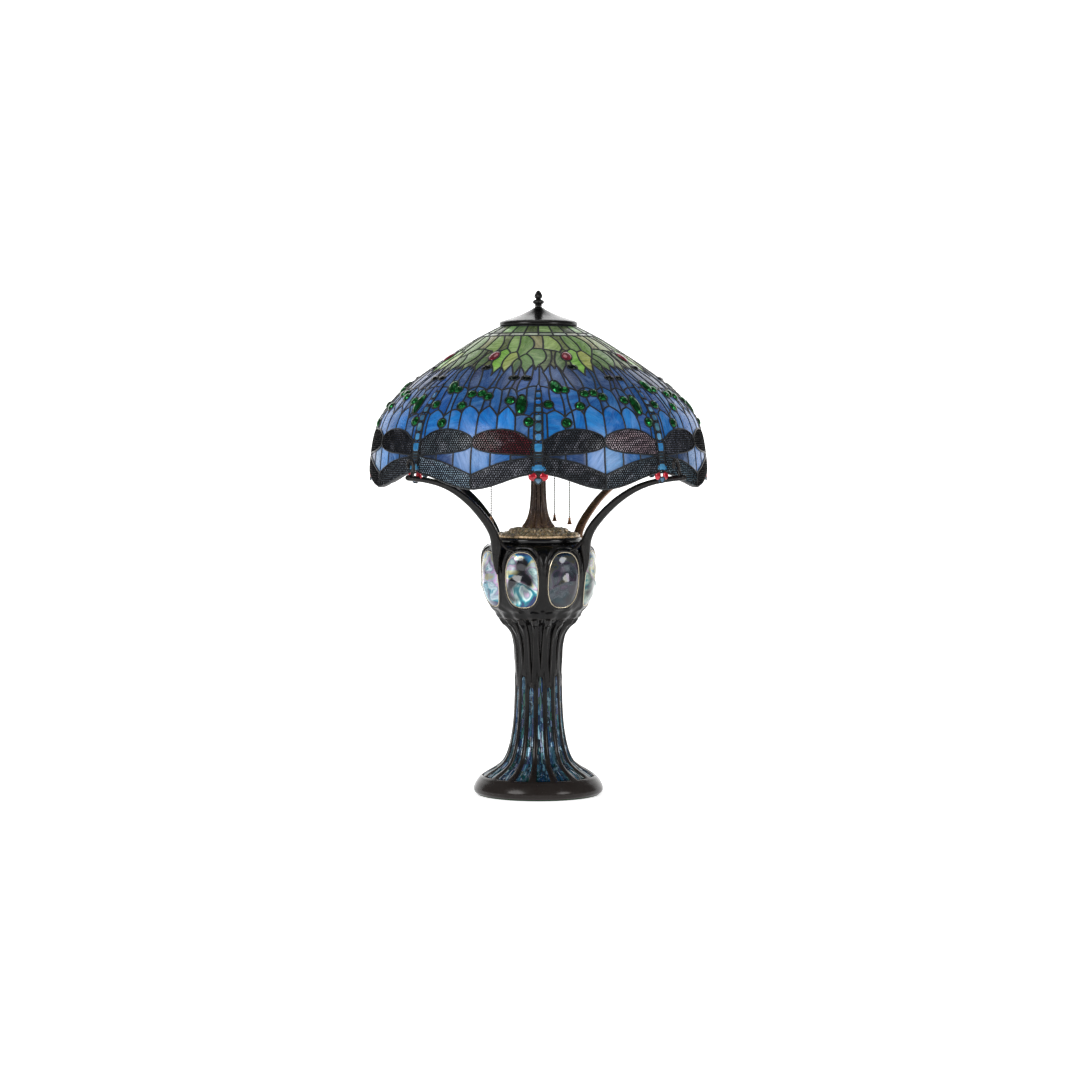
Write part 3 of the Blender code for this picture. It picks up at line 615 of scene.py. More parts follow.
class Lattice:
    """The lead lines and the glass pieces between them, right round the shade."""

    def __init__(self):
        self.rows = joints()
        self.chance = random.Random(5)
        self.chain_lines = [[self.chain_line(k, i) for i in range(len(row))]
                            for k, row in enumerate(self.rows)]
        self.lines = [[self.cross_lines(k, repeat) for repeat in range(REPEATS)]
                      for k in range(len(LINES))]

    def joint(self, row, index):
        turns, index = divmod(index, len(self.rows[row]))
        angle, down = self.rows[row][index]
        return angle + 360 * turns, down

    def chain_line(self, row, index):
        bow = CHAIN_BOW[row] * self.chance.uniform(0.1, 1)
        return bowed(self.joint(row, index), self.joint(row, index + 1), bow)

    def cross_lines(self, row, repeat):
        made = []
        for above, below, bow in LINES[row]:
            top = self.joint(row, above + repeat * len(CHAINS[row]))
            bottom = self.joint(row + 1, below + repeat * len(CHAINS[row + 1]))
            made.append(bowed(top, bottom, bow + self.chance.uniform(-BOW_SPREAD, BOW_SPREAD)))
        return made

    def along(self, row, first, last):
        """The chain's line from one joint to another."""
        out = []
        for index in range(first, last):
            turns, at = divmod(index, len(self.rows[row]))
            out += [point + np.array([360 * turns, 0]) for point in self.chain_lines[row][at][:-1]]
        return [*out, np.array(self.joint(row, last))]

    def pieces(self, row, repeat):
        """The outlines of the glass pieces in one row of one repeat."""
        above, below = len(CHAINS[row]), len(CHAINS[row + 1])
        lines = LINES[row]
        for number, (top, bottom, _) in enumerate(lines):
            left = self.lines[row][repeat][number]
            if number + 1 < len(lines):
                next_top, next_bottom, _ = lines[number + 1]
                right = self.lines[row][repeat][number + 1]
            else:
                next_top, next_bottom = lines[0][0] + above, lines[0][1] + below
                right = self.lines[row][(repeat + 1) % REPEATS][0]
                right = right + np.array([360 if repeat + 1 == REPEATS else 0, 0])
            start, base = repeat * above, repeat * below
            upper = self.along(row, top + start, next_top + start)
            lower = self.along(row + 1, bottom + base, next_bottom + base)
            loop = [*upper[:-1], *right[:-1], *reversed(lower[1:]), *reversed(left[1:])]
            yield number, without_repeats(np.array(loop))


def without_repeats(points):
    """The closed outline without points that lie on the one before."""
    keep = [points[0]]
    for point in points[1:]:
        if np.abs(point - keep[-1]).max() > SAME_POINT:
            keep.append(point)
    if np.abs(keep[0] - keep[-1]).max() <= SAME_POINT:
        keep.pop()
    return np.array(keep)


def varied(colour, chance, amount=0.16):
    """The colour a little lighter or darker, and a little off its hue."""
    level = 1 + chance.uniform(-amount, amount)
    return tuple(max(0, min(1, c * level * (1 + chance.uniform(-amount, amount) * 0.4))) for c in colour)


def make_background(lattice, looks, lead):
    """The cut glass between the lead lines, and the lines themselves outside and inside."""
    chance = random.Random(23)
    for repeat in range(REPEATS):
        glass, outer, inner = Build(), Build(), Build()
        for row, (look, tints) in enumerate(ROWS):
            for number, outline in lattice.pieces(row, repeat):
                tint = varied(tints[number], chance)
                slab(glass, outline, GLASS_OUT, GLASS_IN, look, tint, seed=chance.uniform(0, SEED_MOST))
        for row in range(len(CHAINS)):
            first = repeat * len(CHAINS[row])
            for index in range(first, first + len(CHAINS[row])):
                if row < len(CHAINS) - 1:
                    solder(outer, inner, lattice.chain_lines[row][index])
                angle, down = lattice.joint(row, index)
                blob(outer, angle, down, LEAD_HALF * BLOB_WIDER, LEAD_RISE * BLOB_HIGHER, GLASS_OUT)
            if row < len(LINES):
                for line in lattice.lines[row][repeat]:
                    solder(outer, inner, line)
        number = repeat + 1
        glass.made(f"shade_glass_{number}", looks, slot="shade_glass", sharp=50)
        outer.made(f"shade_solder_{number}", [lead], slot="shade_glass")
        inner.made(f"shade_inner_solder_{number}", [lead], slot="shade_glass")


def solder(outer, inner, line):
    bead(outer, line, LEAD_HALF, LEAD_RISE, GLASS_OUT)
    inner_bead(inner, line, LEAD_HALF, INNER_RISE, GLASS_IN)


# ---------------------------------------------------------------- dragonflies

WING_UPPER = [(1.6, 306), (3.4, 300), (6, 291.5), (10, 286), (14, 285.2), (18, 288.5), (21, 294.5),
              (22.2, 300), (22.3, 311), (20, 318.5), (15, 323.5), (10, 325.5), (5, 327), (1.6, 327)]
WING_LOWER_TOP = [(1.6, 331), (4, 332), (8, 335), (12, 339), (16, 346), (20, 354), (22.35, 361)]
SEGMENTS = [(212.5, 226, 9.5), (228.8, 239.5, 10), (243.5, 255, 10.5), (259.5, 271, 11),
            (273.8, 288.9, 11.5), (291.5, 304, 11)]
SEGMENT_TINTS = tones((20, 96, 156), (8, 102, 176), (58, 116, 158), (54, 104, 140),
                 (56, 108, 132), (74, 138, 186))
TAIL = [(0, 192), (0.75, 200), (0.95, 209.5), (-0.95, 209.5), (-0.75, 200)]
THORAX = (307.5, 322.5, 17)
BANDS = [(326, 12.5), (330.6, 13), (335.2, 12)]
HEAD = [(-2.6, 352.5), (-2.5, 348), (-1.9, 343.8), (-0.7, 341.6), (0.7, 341.6), (1.9, 343.8), (2.5, 348),
        (2.6, 352.5), (1.4, 353.8), (0, 352.6), (-1.4, 353.8)]
SNOUT = [(-0.85, 364.5), (0.85, 364.5), (1.15, 367.5), (0.65, 371.5), (0, 373.5), (-0.65, 371.5),
         (-1.15, 367.5)]
# The beads beside the body: half width, base, and (angle from the axis, down) points
GROUND_LINES = [(1.7, -0.6, [(0.95, 209), (1.35, 253), (1.45, 308)]),
                (1.5, -0.3, [(2.1, 307), (2.3, 325), (1.9, 342)])]
TAIL_TINT, THORAX_TINT, BAND_TINT = tone(20, 84, 150), tone(52, 126, 178), tone(54, 84, 104)
HEAD_TINT, SNOUT_TINT = tone(54, 124, 168), tone(84, 116, 142)
EYE_AT, EYE_DOWN, EYE_R, EYE_RISE, EYE_BASE = 1.87, 361.4, 7.0, 2.4, -1.0
EYE_TINT = tone(170, 8, 34)
COAL, SLATE, MAROON = tone(62, 69, 78), tone(92, 103, 114), tone(98, 26, 36)
PALE, GREY, ICE = tone(176, 156, 162), tone(112, 120, 130), tone(140, 164, 180)
# The wings' glass in each repeat: upper right, upper left, lower right, lower left
WING_TINTS = [(COAL, MAROON, COAL, GREY), (GREY, PALE, ICE, SLATE), (SLATE, COAL, GREY, PALE),
              (MAROON, SLATE, SLATE, COAL), (PALE, GREY, COAL, SLATE), (COAL, PALE, SLATE, GREY),
              (GREY, MAROON, PALE, COAL), (SLATE, COAL, ICE, GREY)]
WING_OUT, WING_IN = 0.0, -4.6
BODY_OUT, BODY_IN = 0.4, -4.7
# Half width, rise and base of the beads round a wing and a body piece, outside and inside the shade
WING_RIM, WING_RIM_IN = (1.4, 1.3, WING_OUT), (1.6, 0.9, -4.4)
BODY_RIM, BODY_RIM_IN = (1.25, 1.3, -0.1), (1.4, 0.8, -4.5)
BAND_HALF, WING_EDGE = 1.5, 1.4
NET_PITCH, NET_OPEN, NET_INSET = 4.1, 0.66, 0.6
NET_LIFT, NET_RISE, NET_UNDER = 0.65, 0.75, 0.35


def mirrored(points):
    """The outline on the other side of the dragonfly."""
    return [(-angle, down) for angle, down in reversed(points)]


def lower_wing():
    """The lower wing's outline: a straight top and the shade's wavy edge below."""
    low = [(angle, float(edge_at(angle)) - WING_EDGE) for angle in (22.35, 20, 17, 14, 11, 8, 5, 3.4)]
    return [*WING_LOWER_TOP, *low, (1.6, 353.5)]


def curved(points, axis):
    """A closed smooth outline round (angle, down) points, moved to a dragonfly's axis."""
    points = np.array(points, float)
    sheet = Sheet(points)
    flat = sheet.flat(points)
    ring = np.vstack([flat[-1], flat, flat[0], flat[1]])
    out = smooth_line(ring, 4)[4:-4][:-1]
    out = sheet.shade(out)
    out[:, 0] += axis
    return without_repeats(out)


def rounded_box(axis, top, bottom, width, sides=20):
    """The outline of a body segment: a box with rounded ends, in (angle, down)."""
    middle = (top + bottom) / 2
    x, y = rounded(np.linspace(0, math.tau, sides, endpoint=False) + 0.1, 0.55)
    return np.stack([axis + x * width / 2 / per_degree(middle), middle + y * (bottom - top) / 2], 1)


def net_cells(flat, pitch, chance):
    """The shared corners of a net's six-sided cells, and each cell's corners and how open it is."""
    low, high = flat.min(0) - pitch, flat.max(0) + pitch
    size = pitch / math.sqrt(3)
    known, corners, cells = {}, [], []
    for j in range(int((high[1] - low[1]) / (size * 1.5)) + 2):
        for i in range(int((high[0] - low[0]) / pitch) + 2):
            middle = np.array([low[0] + (i + (j % 2) / 2) * pitch, low[1] + j * size * 1.5])
            within, away, _ = inside(middle[None], flat)
            if not within[0] or away[0] < NET_INSET:
                continue
            cell = []
            for k in range(6):
                turn = math.radians(60 * k + 30)
                corner = middle + size * np.array([math.cos(turn), math.sin(turn)])
                key = tuple(np.round(corner / size * 3).astype(int))
                if key not in known:
                    corner = corner + np.array([chance.uniform(-1, 1), chance.uniform(-1, 1)]) * size * 0.3
                    held, _, nearest = inside(corner[None], flat)
                    known[key] = len(corners)
                    corners.append(corner if held[0] else nearest[0])
                cell.append(known[key])
            cells.append((cell, NET_OPEN * chance.uniform(0.85, 1.08)))
    return np.array(corners), cells


def net(build, outline, lift, chance):
    """A pierced metal net over a wing, in one sheet: uneven cells with sloping wires between them."""
    sheet = Sheet(outline)
    corners, cells = net_cells(shrunk(sheet.flat(outline), NET_INSET), NET_PITCH, chance)
    spots, count = sheet.shade(corners).T, len(corners)
    points = [on_shade(*spots, lift + NET_RISE), on_shade(*spots, lift - NET_UNDER)]
    faces = [(a + count, b + count, b, a) for a, b in open_edges([cell for cell, _ in cells])]
    for number, (cell, share) in enumerate(cells):
        ring = corners[cell]
        hole = sheet.shade(ring.mean(0) + (ring - ring.mean(0)) * share).T
        points += [on_shade(*hole, lift + rise) for rise in (NET_UNDER, -NET_UNDER)]
        top = 2 * count + 12 * number
        for k in range(6):
            m = (k + 1) % 6
            faces += [(cell[k], cell[m], top + m, top + k), (top + k, top + m, top + 6 + m, top + 6 + k),
                      (top + 6 + k, top + 6 + m, cell[m] + count, cell[k] + count)]
    build.add(np.vstack(points), faces)


def make_dragonflies(looks, lead, wire):
    """Wings under their nets, the jointed body, the head and the ruby eyes, eight times."""
    chance = random.Random(31)
    wing_glass, body_glass, ruby = looks
    shapes = (WING_UPPER, mirrored(WING_UPPER), lower_wing(), mirrored(lower_wing()))
    for repeat in range(REPEATS):
        axis = PERIOD * repeat
        glass, mesh, rims = Build(), Build(), Build()
        for shape, tint in zip(shapes, WING_TINTS[repeat]):
            outline = curved(shape, axis)
            tint = varied(tint, chance)
            seed = chance.uniform(0, SEED_MOST)
            slab(glass, outline, WING_OUT, WING_IN, 0, tint, gap=0.3, seed=seed, spacing=5)
            net(mesh, outline, WING_OUT + NET_LIFT, chance)
            bead(rims, outline, *WING_RIM, closed=True)
            inner_bead(rims, outline, *WING_RIM_IN, closed=True)
        body_pieces(glass, rims, axis, chance)
        number = repeat + 1
        glass.made(f"dragonfly_glass_{number}", [wing_glass, body_glass], slot="shade_glass", sharp=50)
        mesh.made(f"dragonfly_net_{number}", [wire], slot="shade_glass", sharp=30)
        rims.made(f"dragonfly_solder_{number}", [lead], slot="shade_glass")
        eyes = Build()
        for side in (-1, 1):
            gem(eyes, axis + side * EYE_AT, EYE_DOWN, EYE_R, EYE_R, EYE_RISE, EYE_BASE, EYE_TINT, rings=9)
        eyes.made(f"dragonfly_eyes_{number}", [ruby], slot="shade_glass", sharp=60)


def body_pieces(glass, rims, axis, chance):
    """The jointed body, from its pointed tail to the snout below the shade's edge."""
    shapes = [(np.array(TAIL) + (axis, 0), TAIL_TINT)]
    for (top, bottom, width), tint in zip(SEGMENTS, SEGMENT_TINTS):
        shapes.append((rounded_box(axis, top, bottom, width), tint))
    shapes.append((rounded_box(axis, *THORAX), THORAX_TINT))
    for middle, width in BANDS:
        shapes.append((rounded_box(axis, middle - BAND_HALF, middle + BAND_HALF, width), BAND_TINT))
    shapes.append((curved(HEAD, axis), HEAD_TINT))
    shapes.append((curved(SNOUT, axis), SNOUT_TINT))
    for outline, tint in shapes:
        slab(glass, outline, BODY_OUT, BODY_IN, 1, varied(tint, chance, 0.1), gap=0.2, dome=1.0,
             seed=chance.uniform(0, SEED_MOST), spacing=3)
        bead(rims, outline, *BODY_RIM, closed=True, step=2)
        inner_bead(rims, outline, *BODY_RIM_IN, closed=True, step=4)
    for side in (-1, 1):  # the dark ground that the body stands in
        for half, base, line in GROUND_LINES:
            line = [(axis + side * across, down) for across, down in line]
            bead(rims, smooth_line(line, 6), half, 1.2, base)


def oval(angle, down, half_x, half_y, turn, tilt):
    """The angles and distances down of the points of a tilted oval on the shade."""
    x, y = np.cos(turn) * half_x, np.sin(turn) * half_y
    across = x * math.cos(tilt) - y * math.sin(tilt)
    along = x * math.sin(tilt) + y * math.cos(tilt)
    return angle + across / per_degree(down), down + along


CUT_STEPS = [(0.6, -0.35), (1.0, 0.0), (0.93, 0.3), (0.68, 0.78), (0.36, 1.0)]
DOME_BACK, DOME_SIDES = (0.6, -0.55), 20


def gem(build, angle, down, half_x, half_y, rise, base, tint, tilt=0.0, facets=0, rings=6):
    """A glass jewel: a smooth dome, or cut in facets, closed by a dome at its back."""
    sides = facets or DOME_SIDES
    dome = [DOME_BACK, *((math.cos(t), math.sin(t)) for t in np.linspace(0, 1.35, rings))]
    points = []
    for row, (share, up) in enumerate(CUT_STEPS if facets else dome):
        turn = circle(sides) + (row % 2 * math.pi / sides if facets else 0)
        spots = oval(angle, down, half_x * share, half_y * share, turn, tilt)
        points.append(on_shade(*spots, base + up * rise))
    faces = []
    for row in range(len(points) - 1):
        a, b = row * sides, (row + 1) * sides
        for k in range(sides):
            m = (k + 1) % sides
            if facets and row % 2 == 0:
                faces += [(b + k, b + m, a + m), (b + k, a + m, a + k)]
            elif facets:
                faces += [(b + k, a + m, a + k), (b + k, b + m, a + m)]
            else:
                faces.append((b + k, b + m, a + m, a + k))
    faces.append(tuple(range(sides)))
    faces.append(tuple((len(points) - 1) * sides + k for k in reversed(range(sides))))
    build.add(np.vstack(points), faces, 0, tint)


# Jewels in one repeat: (angle, down, half width, half height, tilt)
GREEN_GEMS = [(-6.2, 238.5, 8.8, 20.5, 0), (7.2, 199, 8.8, 16, -12), (-10.4, 230.5, 8, 8, 0),
              (-19.5, 222.5, 8, 8, 0), (3.7, 239, 8, 8, 0), (-3.4, 272, 8, 8, 0),
              (9.7, 274.5, 8, 8, 0), (15.6, 243, 8, 8, 0), (18.3, 215.5, 8, 7.4, 0),
              (10.6, 206, 7.6, 7.2, 0), (22.4, 214.5, 8, 7.4, 0)]
DARK_GEMS = [(-11, 176, 8, 5.4, 0), (-5.3, 176, 8, 5.4, 10), (17.5, 147, 8, 5.5, 0)]
RED_GEMS = [(17, 114, 8.6, 13.5, 8)]
GEM_GREEN, GEM_DARK, GEM_RED = tone(7, 84, 36), tone(4, 14, 11), tone(122, 6, 36)
CUT_RISE, CUT_BASE, RUBY_RISE, RUBY_BASE = 4.6, -0.9, 3.6, -0.8
GEM_RIM, GEM_GAP = (1.3, 1.5, -0.9), 0.5


def make_jewels(looks, lead):
    """Faceted bottle-green jewels and smooth ruby ovals, each in a rim of solder."""
    green, red = looks
    chance = random.Random(47)
    for repeat in range(REPEATS):
        gems, rims, rubies = Build(), Build(), Build()
        for kind, rows in ((0, GREEN_GEMS), (1, DARK_GEMS), (2, RED_GEMS)):
            for angle, down, wide, tall, tilt in rows:
                at = angle + PERIOD * repeat + chance.uniform(-0.25, 0.25)
                down += chance.uniform(-1.5, 1.5)
                turn = math.radians(tilt + chance.uniform(-6, 6))
                if kind == 2:
                    gem(rubies, at, down, wide, tall, RUBY_RISE, RUBY_BASE, GEM_RED, turn)
                else:
                    tint = GEM_DARK if kind else GEM_GREEN
                    gem(gems, at, down, wide, tall, CUT_RISE - kind, CUT_BASE, tint, turn, facets=12)
                rim = np.stack(oval(at, down, wide + GEM_GAP, tall + GEM_GAP, circle(18), turn), 1)
                bead(rims, rim, *GEM_RIM, closed=True, step=2)
                inner_bead(rims, rim, wide * 0.6, 0.9, -4.2, closed=True)
        number = repeat + 1
        gems.made(f"shade_jewels_{number}", [green], slot="shade_glass", sharp=8)
        rubies.made(f"shade_rubies_{number}", [red], slot="shade_glass", sharp=60)
        rims.made(f"shade_jewel_rims_{number}", [lead], slot="shade_glass")


def make_shade():
    lead = metal("aged_solder", [(10, 11, 12), (22, 24, 26), (48, 51, 54)], 0.32, 420, 0.2, shine=0.2)
    wire = metal("wing_net", [(3, 3, 4), (8, 9, 10), (16, 17, 19)], 0.5, 420, 0.0, shine=0.06)
    leaf = sheet_glass("leaf_glass", tone(168, 186, 150), tone(196, 214, 150), 0.3)
    sky = sheet_glass("sky_glass", tone(120, 190, 216), tone(124, 156, 206), 0.3)
    band = sheet_glass("band_glass", tone(220, 226, 214), tone(226, 230, 224), 0.4)
    wing = sheet_glass("wing_glass", tone(130, 130, 146), tone(190, 190, 204), 0.35, 0.2)
    body = sheet_glass("body_glass", tone(170, 206, 220), tone(150, 190, 206), 0.35, 0.1)
    ruby = tinted_glass("ruby_glass", 0.6, 1.4, 90, 0.35)
    green = tinted_glass("jewel_cut_glass", 0.2, 1.7, 160, 0.85, coat=0.1)
    lattice = Lattice()
    make_background(lattice, [leaf, sky, band], lead)
    make_dragonflies((wing, body, ruby), lead, wire)
    make_jewels((green, ruby), lead)
    make_rims(lead)


def make_rims(lead):
    """The rounded edging along the wavy lower edge and round the top opening, outside and inside."""
    build = Build()
    angles = np.arange(0, 360, 1.0)
    edge, top = edge_at(angles) - 1.0, 8.0
    for down, half, rise, base, sign in ((edge, 1.9, 2.4, -2.6, 1), (edge, 1.9, 2.2, -2.6, -1),
                                         (top, 2.2, 1.3, GLASS_OUT, 1), (top, 2.2, 1.3, GLASS_IN, -1)):
        rings = [on_shade(angles, down + across * half, base + sign * up * rise) for across, up in BEAD]
        build.grid(np.stack(rings, 1), order=FACING[sign])
    build.made("shade_edging", [lead], slot="shade_glass", replaces=["shade_leaded_glass"])


# ---------------------------------------------------------------- turned and swept shapes


def turned_points(rows, steps, relief=None):
    """Points in metres of a turned skin. Rows are (radius, height); relief lifts them along the normal."""
    rows = np.asarray(rows, float)
    along = unit(np.gradient(rows, axis=0))
    angle, r = np.meshgrid(np.arange(steps) / steps * 360, rows[:, 0])
    z = np.broadcast_to(rows[:, 1:], angle.shape)
    lift = np.zeros_like(r) if relief is None else relief(angle, r, z)
    return polar(angle, r + lift * along[:, 1:], z - lift * along[:, :1])


def turned_piece(name, material, outer, inner=(), steps=128, relief=None, smooth=6, **made):
    """A turned solid: a smooth outer profile from bottom to top, then an inner one from top to bottom."""
    outer = smooth_line(outer, smooth) if smooth else np.array(outer, float)
    points = turned_points(outer, steps, relief)
    if len(inner):
        points = np.concatenate([points, turned_points(inner, steps)])
    build = Build()
    build.grid(points, ring=bool(len(inner)))
    return build.made(name, [material], **made)


def spun(points, angle):
    """(sideways, radius, height) in millimetres to metres, turned to that angle."""
    points = np.asarray(points, float)
    turn = math.radians(angle)
    out = np.outer(points[:, 0], (math.cos(turn), math.sin(turn), 0))
    out += np.outer(points[:, 1], (math.sin(turn), -math.cos(turn), 0))
    out[:, 2] += points[:, 2]
    return out * MM


def swept(line, halves, angle, sides=20, ridge=0.0):
    """Points of a round bar along (sideways, radius, height), with its half width and half height."""
    line = np.asarray(line, float)
    along = unit(np.gradient(line, axis=0))
    across = np.cross(along, (0, 0, 1.0))
    flat = np.linalg.norm(across, axis=1) < 0.2
    across[flat] = (-1, 0, 0)
    for i in range(1, len(across)):
        if across[i] @ across[i - 1] < 0:
            across[i] *= -1
    across = unit(across)
    up = np.cross(across, along)
    turn = circle(sides)
    rows = []
    for spot, a, b, (wide, tall) in zip(line, across, up, halves):
        swell = 1 + ridge * np.cos(turn * 2) ** 2
        ring = spot + np.outer(np.cos(turn) * wide * swell, a) + np.outer(np.sin(turn) * tall, b)
        rows.append(spun(ring, angle))
    return np.array(rows)


def smoothstep(value, low, high):
    """A smooth step from 0 at low to 1 at high."""
    t = np.clip((value - low) / (high - low), 0, 1)
    return t * t * (3 - 2 * t)


def noise_grid(angle, z, across, up, seed, octaves=2):
    """Seamless noise on a turned surface."""
    turn = np.radians(angle)
    x, y, h = np.sin(turn) * across, np.cos(turn) * across, z * up
    flat = [noise.fractal(Vector(p), 1.0, 2.0, octaves) for p in
            zip((x + seed).ravel(), y.ravel(), h.ravel())]
    return np.array(flat).reshape(angle.shape)


# ---------------------------------------------------------------- foot and column

BASE_TURN = 5.0
COLUMN = [(106.5, 2.3), (109.4, 6), (109.6, 12.5), (106, 21), (102, 26.5), (98, 30.7), (84.5, 39),
          (71.5, 46.8), (60, 57), (52, 73.5), (46, 98), (42, 130), (40, 180), (40.2, 236),
          (42, 257), (47.2, 275), (58.6, 292), (66.5, 299.8)]
COLUMN_IN = [(55, 299.8), (52, 294), (40, 280), (33.5, 262), (31.6, 236), (31.6, 180), (34, 130),
             (38, 98), (44, 73), (52, 57), (63, 45), (78, 34), (95, 22), (98.5, 12), (98.5, 2.3)]
COLUMN_LINE = smooth_line(COLUMN, 9)
COLUMN_RUN = run_of(COLUMN_LINE)
COLUMN_SLOPE = unit(np.gradient(COLUMN_LINE, axis=0))
STRIPS = 16
STRIP_TURN = 360 / STRIPS
STRIP_LOW, STRIP_TALL, STRIP_SHORT = 32.0, 203.0, 185.0
BED, GLASS_UNDER = 3.3, 1.0
OUTLET_Z, OUTLET_R = 14.0, 5.2


def strip_half(z):
    """Half a strip's width in degrees: strips widen towards the foot."""
    return np.interp(z, (60, 190), (7.5, 5.8))


def from_strip(angle):
    """Degrees from the nearest strip's middle, and whether that strip is a tall one."""
    place = (angle - BASE_TURN) / STRIP_TURN
    number = np.round(place)
    return (place - number) * STRIP_TURN, (number.astype(int) % 2) == 0


def folds(angle, per_turn, shift):
    """Waves from -1 to 1 round the castings."""
    return np.cos(np.radians(angle - BASE_TURN) * per_turn + shift)


def hump(value, middle, width):
    """A smooth rise to 1 at the middle."""
    return np.exp(-((value - middle) / width) ** 2)


def column_relief(angle, r, z):
    """The strips' beds, the ribs between them, the flutes above, the leaves at the top and the outlet."""
    off, tall = from_strip(angle)
    top = np.where(tall, STRIP_TALL, STRIP_SHORT)
    x = np.radians(off) * r
    half = np.radians(strip_half(z)) * r
    over = np.maximum(z - (top - half), 0)
    room = np.minimum(half - np.hypot(x, over), (z - STRIP_LOW) * 1.4)
    lift = -BED * smoothstep(room, 0.0, 1.1)
    rib = np.clip(1 - (STRIP_TURN / 2 - np.abs(off)) / (STRIP_TURN / 2 - strip_half(z)), 0, 1)
    body = smoothstep(z, 30, 38) * (1 - smoothstep(z, top - 4, top + 6))
    lift += np.where(room < 0, body * (0.7 - 0.9 * (1 - rib) ** 2), 0)
    lift += 0.8 * hump(room, -0.9, 0.8) * smoothstep(z, top - half - 4, top - half + 2)
    flute = (0.7 + 2.4 * smoothstep(z, top + 12, top + 72)) * r / 40
    cut = smoothstep(z, top + 9, top + 20) * (1 - smoothstep(z, 288, 295))
    lift -= 3.2 * smoothstep(flute - np.abs(x), 0, 1.4) * cut
    lift += 1.0 * hump(np.abs(x) - flute, 1.4, 1.1) * smoothstep(z, top + 10, top + 30)
    root = smoothstep(z, 258, 290)
    fold = folds(angle, 16, math.pi)
    lift += root * (1.5 * fold + 0.8 * folds(angle, 32, 0.8))
    lift += 2.4 * hump(z - 3 * fold, 291, 4.5) * smoothstep(fold, -0.4, 0.8)
    lift += 0.7 * root * noise_grid(angle, z, 5.5, 0.11, 3)
    hole = np.hypot(np.radians((angle + 360) % 360 - 180) * r, z - OUTLET_Z)
    return lift - 15 * smoothstep(OUTLET_R - hole, -0.5, 0.5) * (z < 30)


def make_column(bronze):
    turned_piece("column_body", bronze, COLUMN_LINE, COLUMN_IN, 560, column_relief, 0, slot="dark_bronze",
                 sharp=40, replaces=["column_casting"])


MOSAIC = tones((26, 78, 100), (50, 100, 124), (12, 54, 88), (24, 84, 88), (88, 130, 152),
          (12, 60, 100), (40, 70, 92), (18, 72, 66), (58, 72, 108), (6, 38, 70),
          (14, 40, 52))
LANES = ((47, 6), (57, 5), (84, 4), (260, 3))  # up to each height, how many lanes of slivers a strip has
JOINT = 0.3  # half the joint between slivers
SLIVER_TALL, SLIVER_LEAST = (8, 28), 6


def make_mosaic(glass):
    """Sixteen strips of hand-set slivers in lanes, with staggered ends and dark joints between them."""
    chance = random.Random(71)
    for number in range(STRIPS):
        top = (STRIP_SHORT if number % 2 else STRIP_TALL) - 1.2
        low, high = np.interp((STRIP_LOW + 1.4, top), COLUMN_LINE[:, 1], COLUMN_RUN)
        build = Build()
        for height, lanes in LANES:
            end = min(float(np.interp(height, COLUMN_LINE[:, 1], COLUMN_RUN)), high)
            seed = chance.uniform(0, 9)
            for lane in range(lanes):
                spot, slant = low, 0.0
                while spot < end - 0.5:
                    tall = chance.uniform(*SLIVER_TALL)
                    last = end - spot - tall < SLIVER_LEAST
                    tall = end - spot if last else tall
                    after = 0.0 if last else chance.uniform(-1.5, 1.5)
                    ends = (spot + JOINT, spot + tall - JOINT)
                    sliver(build, number, (lane, lanes, seed), ends, (slant, after), high, chance)
                    spot += tall
                    slant = after
            low = end
        build.made(f"mosaic_{number + 1:02d}", [glass], slot="mosaic_glass", sharp=30,
                   replaces=[f"mosaic_strip_{number + 1:02d}"])


def lane_edge(number, lanes, along, seed):
    """Where a lane's edge lies across its strip, from -1 to 1, wavering between the strip's own edges."""
    share = number / lanes
    if 0 < number < lanes:
        waver = 0.2 * np.sin(along / 6.5 + seed + 2.3 * number) + 0.1 * np.sin(along / 2.7 + 1.7 * number)
        share = share + waver / lanes
    return share * 2 - 1 + 0 * along


def sliver(build, number, lane, ends, slants, top, chance):
    """One sliver of mosaic glass: a thin bar that follows the column, tipped a little its own way."""
    index, lanes, seed = lane
    count = max(3, int((ends[1] - ends[0]) / 4) + 1)
    tip = chance.uniform(-0.5, 0.5)
    rise = chance.uniform(-0.25, 0.45)
    sections = ((0, -BED + 0.2), (0, -GLASS_UNDER - 0.3 + tip), (0.5, -GLASS_UNDER + rise),
                (1, -GLASS_UNDER - 0.3 - tip), (1, -BED + 0.2))
    rows = []
    for side, lift in sections:
        skew = side * 2 - 1
        along = np.linspace(ends[0] + skew * slants[0], ends[1] + skew * slants[1], count)
        r, z = (np.interp(along, COLUMN_RUN, COLUMN_LINE[:, k]) for k in (0, 1))
        slope_r, slope_z = (np.interp(along, COLUMN_RUN, COLUMN_SLOPE[:, k]) for k in (0, 1))
        half = strip_half(z) - JOINT
        reach = np.minimum(1, np.sqrt(np.clip((top - along) / (np.radians(half) * r), 0, 1)) + 0.12)
        left, right = (lane_edge(index + k, lanes, along, seed) for k in (0, 1))
        off = (left + (right - left) * side) * half * reach - skew * np.degrees(JOINT / r)
        rows.append(polar(off + BASE_TURN + number * STRIP_TURN, r + slope_z * lift, z - slope_r * lift))
    build.grid(np.stack(rows, 1), 0, varied(chance.choice(MOSAIC), chance, 0.3), ring=False)


# ---------------------------------------------------------------- urn

